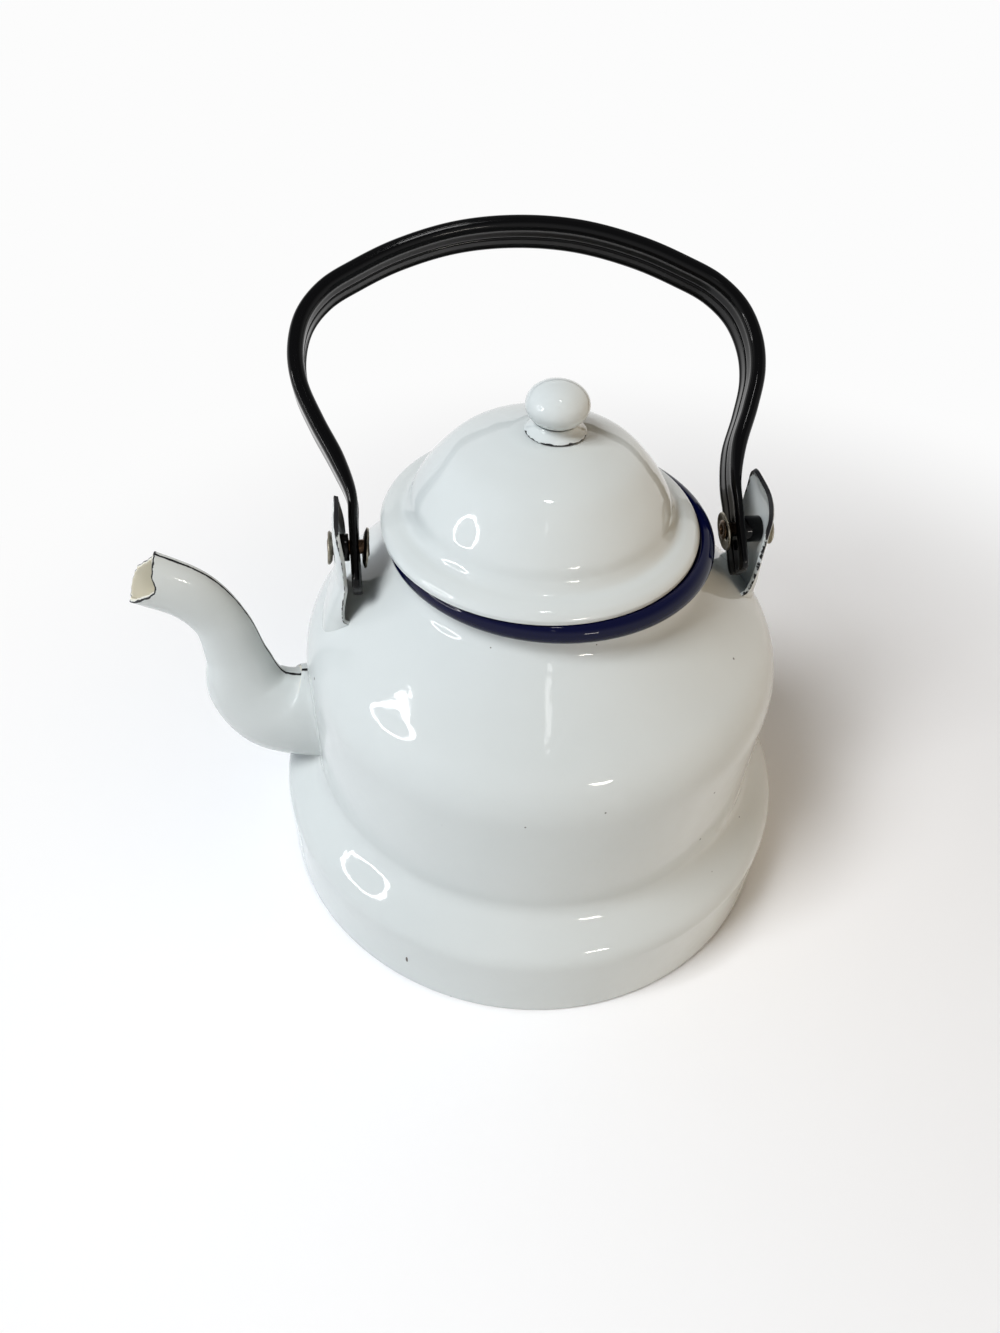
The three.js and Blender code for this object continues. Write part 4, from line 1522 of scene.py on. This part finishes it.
@dataclass(frozen=True)
class Lamp:
    """An area lamp that faces a point.

    A lamp for form isn't seen in the gloss, and one for gloss only adds its own reflection.
    """

    name: str
    place: Place
    target: Place
    size: tuple[float, float]
    watts: float
    colour: str
    in_gloss: bool
    ring: float = 0

    def build(self) -> None:
        """Adds the lamp; a ring lamp is dark in its middle."""
        data = bpy.data.lights.new(self.name, "AREA")
        data.shape = "ELLIPSE" if self.ring else "RECTANGLE"
        data.size, data.size_y = (s * MM for s in self.size)
        data.energy = self.watts
        data.color = colour(self.colour)[:3]
        if self.ring:
            self.darken_middle(data)
        lamp = bpy.data.objects.new(self.name, data)
        bpy.context.scene.collection.objects.link(lamp)
        place, target = Vector(self.place) * MM, Vector(self.target) * MM
        facing = (target - place).to_track_quat("-Z", "Y").to_matrix().to_4x4()
        lamp.matrix_world = Matrix.Translation(place) @ facing
        lamp.visible_glossy = self.in_gloss
        lamp.visible_diffuse = not self.in_gloss
        lamp.visible_camera = False

    def darken_middle(self, data: bpy.types.AreaLight) -> None:
        """Makes the lamp a ring by its own surface coordinates.

        Args:
            data: The lamp's data, which gets its own nodes.
        """
        data.use_nodes = True
        tree = data.node_tree
        tree.nodes.clear()
        place = add(tree, "NewGeometry").outputs["Parametric"]
        off = add(tree, "VectorMath", {"operation": "SUBTRACT", 1: (0.5, 0.5, 0)}, {0: place})
        away = add(tree, "VectorMath", {"operation": "LENGTH"}, {0: off.outputs[0]})
        lit = add(tree, "Math", {"operation": "GREATER_THAN", 1: self.ring / 2}, {0: away.outputs["Value"]})
        glow = add(tree, "Emission", {}, {"Strength": lit.outputs[0]})
        add(tree, "OutputLight", {}, {"Surface": glow.outputs[0]})


@dataclass
class Studio:
    """A white table and a white surround, soft light from the left and above, and the camera."""

    camera_distance: float = 227.8
    camera_height: float = 292.64
    camera_pitch: float = 0.77787
    camera_yaw: float = -0.05494
    camera_roll: float = 0.05355
    azimuth: float = math.radians(12.5)
    lens: float = 34.2
    dome_left: float = 0.36
    dome_right: float = 0.38
    ceiling: float = 0.3
    ceiling_span: Point = (0.3, 0.75)
    side_span: float = 0.9
    cool: str = "BDDFFF"
    warm: str = "FFE0B4"
    table_white: str = "F6F6F6"
    backdrop_white: str = "FCFCFC"
    floor_reach: float = 6000
    floor_gap: float = 0.3
    shadow_middle: Place = (70, -10, 0)
    shadow_fade: Point = (140, 360)
    lamps: tuple[Lamp, ...] = (
        Lamp("key", (-620, -300, 1020), (0, 0, 60), (440, 440), 12.6, "FAFCFF", False),
        Lamp("fill", (900, -520, 240), (0, 0, 80), (500, 400), 2.1, "FFE2BC", False),
        Lamp("ring_lamp", (-1202, -265, 639), (-45, -40, 90), (540, 540), 18, "FFFFFF", True, ring=0.83),
        Lamp("overhead", (50, -160, 1150), (0, 0, 150), (80, 60), 0.45, "FFFFFF", True),
        Lamp("row", (-40, -687, 884), (0, -50, 105), (36, 90), 0.05, "FFFFFF", True),
        Lamp("window", (312, -960, 350), (5, -75, 60), (150, 32), 0.9, "FFF8EE", True),
    )

    def build(self) -> None:
        """Builds the camera, the floor, the surround and the lamps."""
        self.build_camera()
        self.build_floor()
        self.build_surround()
        for lamp in self.lamps:
            lamp.build()

    def build_camera(self) -> None:
        """Adds the camera at the photograph's viewpoint."""
        data = bpy.data.cameras.new("camera")
        data.sensor_fit, data.sensor_width, data.lens = "HORIZONTAL", 36, self.lens
        data.clip_start, data.clip_end = 0.01, 20
        camera = bpy.data.objects.new("camera", data)
        bpy.context.scene.collection.objects.link(camera)
        stand = Matrix.Translation(Vector((0, -self.camera_distance, self.camera_height)) * MM)
        pitch = math.pi / 2 - self.camera_pitch
        gaze = Matrix.Rotation(-self.camera_yaw, 4, "Z") @ Matrix.Rotation(pitch, 4, "X")
        roll = Matrix.Rotation(self.camera_roll, 4, "Z")
        camera.matrix_world = Matrix.Rotation(-self.azimuth, 4, "Z") @ stand @ gaze @ roll
        bpy.context.scene.camera = camera

    def build_floor(self) -> None:
        """Adds the white table, which keeps the kettle's shadow near it and is plain white far off."""
        mesh = bmesh.new()
        bmesh.ops.create_grid(mesh, x_segments=2, y_segments=2, size=self.floor_reach * MM)
        bmesh.ops.translate(mesh, vec=(0, 0, -self.floor_gap * MM), verts=mesh.verts[:])
        data = bpy.data.meshes.new("table")
        mesh.to_mesh(data)
        mesh.free()
        material = bpy.data.materials.new("matt_white_table")
        material.use_nodes = True
        tree = material.node_tree
        tree.nodes.clear()
        place = add(tree, "TexCoord").outputs["Object"]
        lie = {"vector_type": "TEXTURE", "Location": [c * MM for c in self.shadow_middle]}
        spread = add(tree, "Mapping", lie, {"Vector": place})
        away = add(tree, "VectorMath", {"operation": "LENGTH"}, {0: spread.outputs[0]}).outputs["Value"]
        near, end = (reach * MM for reach in self.shadow_fade)
        fade = {"From Min": near, "From Max": end, "interpolation_type": "SMOOTHSTEP"}
        far = add(tree, "MapRange", fade, {"Value": away})
        paint = add(tree, "BsdfDiffuse", {"Color": colour(self.table_white)})
        glow = add(tree, "Emission", {"Color": colour(self.backdrop_white), "Strength": 1})
        lit = add(tree, "Math", {"operation": "MULTIPLY"}, {0: far.outputs[0], 1: self.shown(tree)})
        blend = add(tree, "MixShader", {}, {0: lit.outputs[0], 1: paint.outputs[0], 2: glow.outputs[0]})
        add(tree, "OutputMaterial", {}, {"Surface": blend.outputs[0]})
        data.materials.append(material)
        table = bpy.data.objects.new("table", data)
        bpy.context.scene.collection.objects.link(table)

    @staticmethod
    def shown(tree: Tree) -> Socket:
        """What sees the white backdrop: the camera, gloss and glass.

        Args:
            tree: The nodes of the table or the surround.

        Returns:
            1 for those rays and 0 for the rest.
        """
        path = add(tree, "LightPath").outputs
        seen = path["Is Camera Ray"]
        for kind in ("Is Glossy Ray", "Is Transmission Ray"):
            seen = add(tree, "Math", {"operation": "MAXIMUM"}, {0: seen, 1: path[kind]}).outputs[0]
        return seen

    def build_surround(self) -> None:
        """Sets the world: a white backdrop, dimmer overhead in gloss, and soft light, cool to warm."""
        world = bpy.data.worlds.new("surround")
        bpy.context.scene.world = world
        world.use_nodes = True
        tree = world.node_tree
        tree.nodes.clear()
        way = add(tree, "TexCoord").outputs["Generated"]
        axes = add(tree, "SeparateXYZ", {}, {0: way})
        across = {"From Min": -self.side_span, "From Max": self.side_span}
        side = add(tree, "MapRange", across, {"Value": axes.outputs["X"]}).outputs[0]
        tints = {"data_type": "RGBA", 6: colour(self.cool), 7: colour(self.warm)}
        tint = add(tree, "Mix", tints, {0: side})
        levels = {"To Min": self.dome_left, "To Max": self.dome_right}
        level = add(tree, "MapRange", levels, {"Value": side})
        soft = add(tree, "Background", {}, {"Color": tint.outputs[2], "Strength": level.outputs[0]})
        low, high = self.ceiling_span
        overhead = {"From Min": low, "From Max": high, "To Min": 1, "To Max": self.ceiling}
        dim = add(tree, "MapRange", overhead, {"Value": axes.outputs["Z"]}).outputs[0]
        looked_at = add(tree, "LightPath").outputs["Is Camera Ray"]
        bright = add(tree, "Math", {"operation": "MAXIMUM"}, {0: dim, 1: looked_at})
        white = add(tree, "Background", {"Color": (1, 1, 1, 1)}, {"Strength": bright.outputs[0]})
        blend = add(tree, "MixShader", {}, {0: self.shown(tree), 1: soft.outputs[0], 2: white.outputs[0]})
        add(tree, "OutputWorld", {}, {"Surface": blend.outputs[0]})


def main() -> None:
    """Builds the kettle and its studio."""
    logging.basicConfig(level=logging.INFO, format="%(name)s: %(message)s")
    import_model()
    bpy.context.scene.view_settings.view_transform = "Standard"
    Studio().build()
    body, spout = Body(), Spout()
    body.build(spout)
    spout.build(body)
    spout_end = PivotEnd(
        body, "spout_side", turn=math.pi, spacer_length=2.8, lean=1.5, lean_power=2.2, inset=5, top_power=2.4,
        bare_inner=0.6, bare_outer=0.9, bare_from=0.7,
    )
    back_end = PivotEnd(
        body, "back_side", turn=0, spacer_length=5.85, lean=3.4, lean_power=2, inset=7.2, top_power=3.6,
        bare_inner=2.4, bare_outer=0.8, bare_from=0.1,
    )
    spout_end.build()
    back_end.build()
    Bail(back_end).build()
    Lid(body).build()


if __name__ == "__main__":
    main()
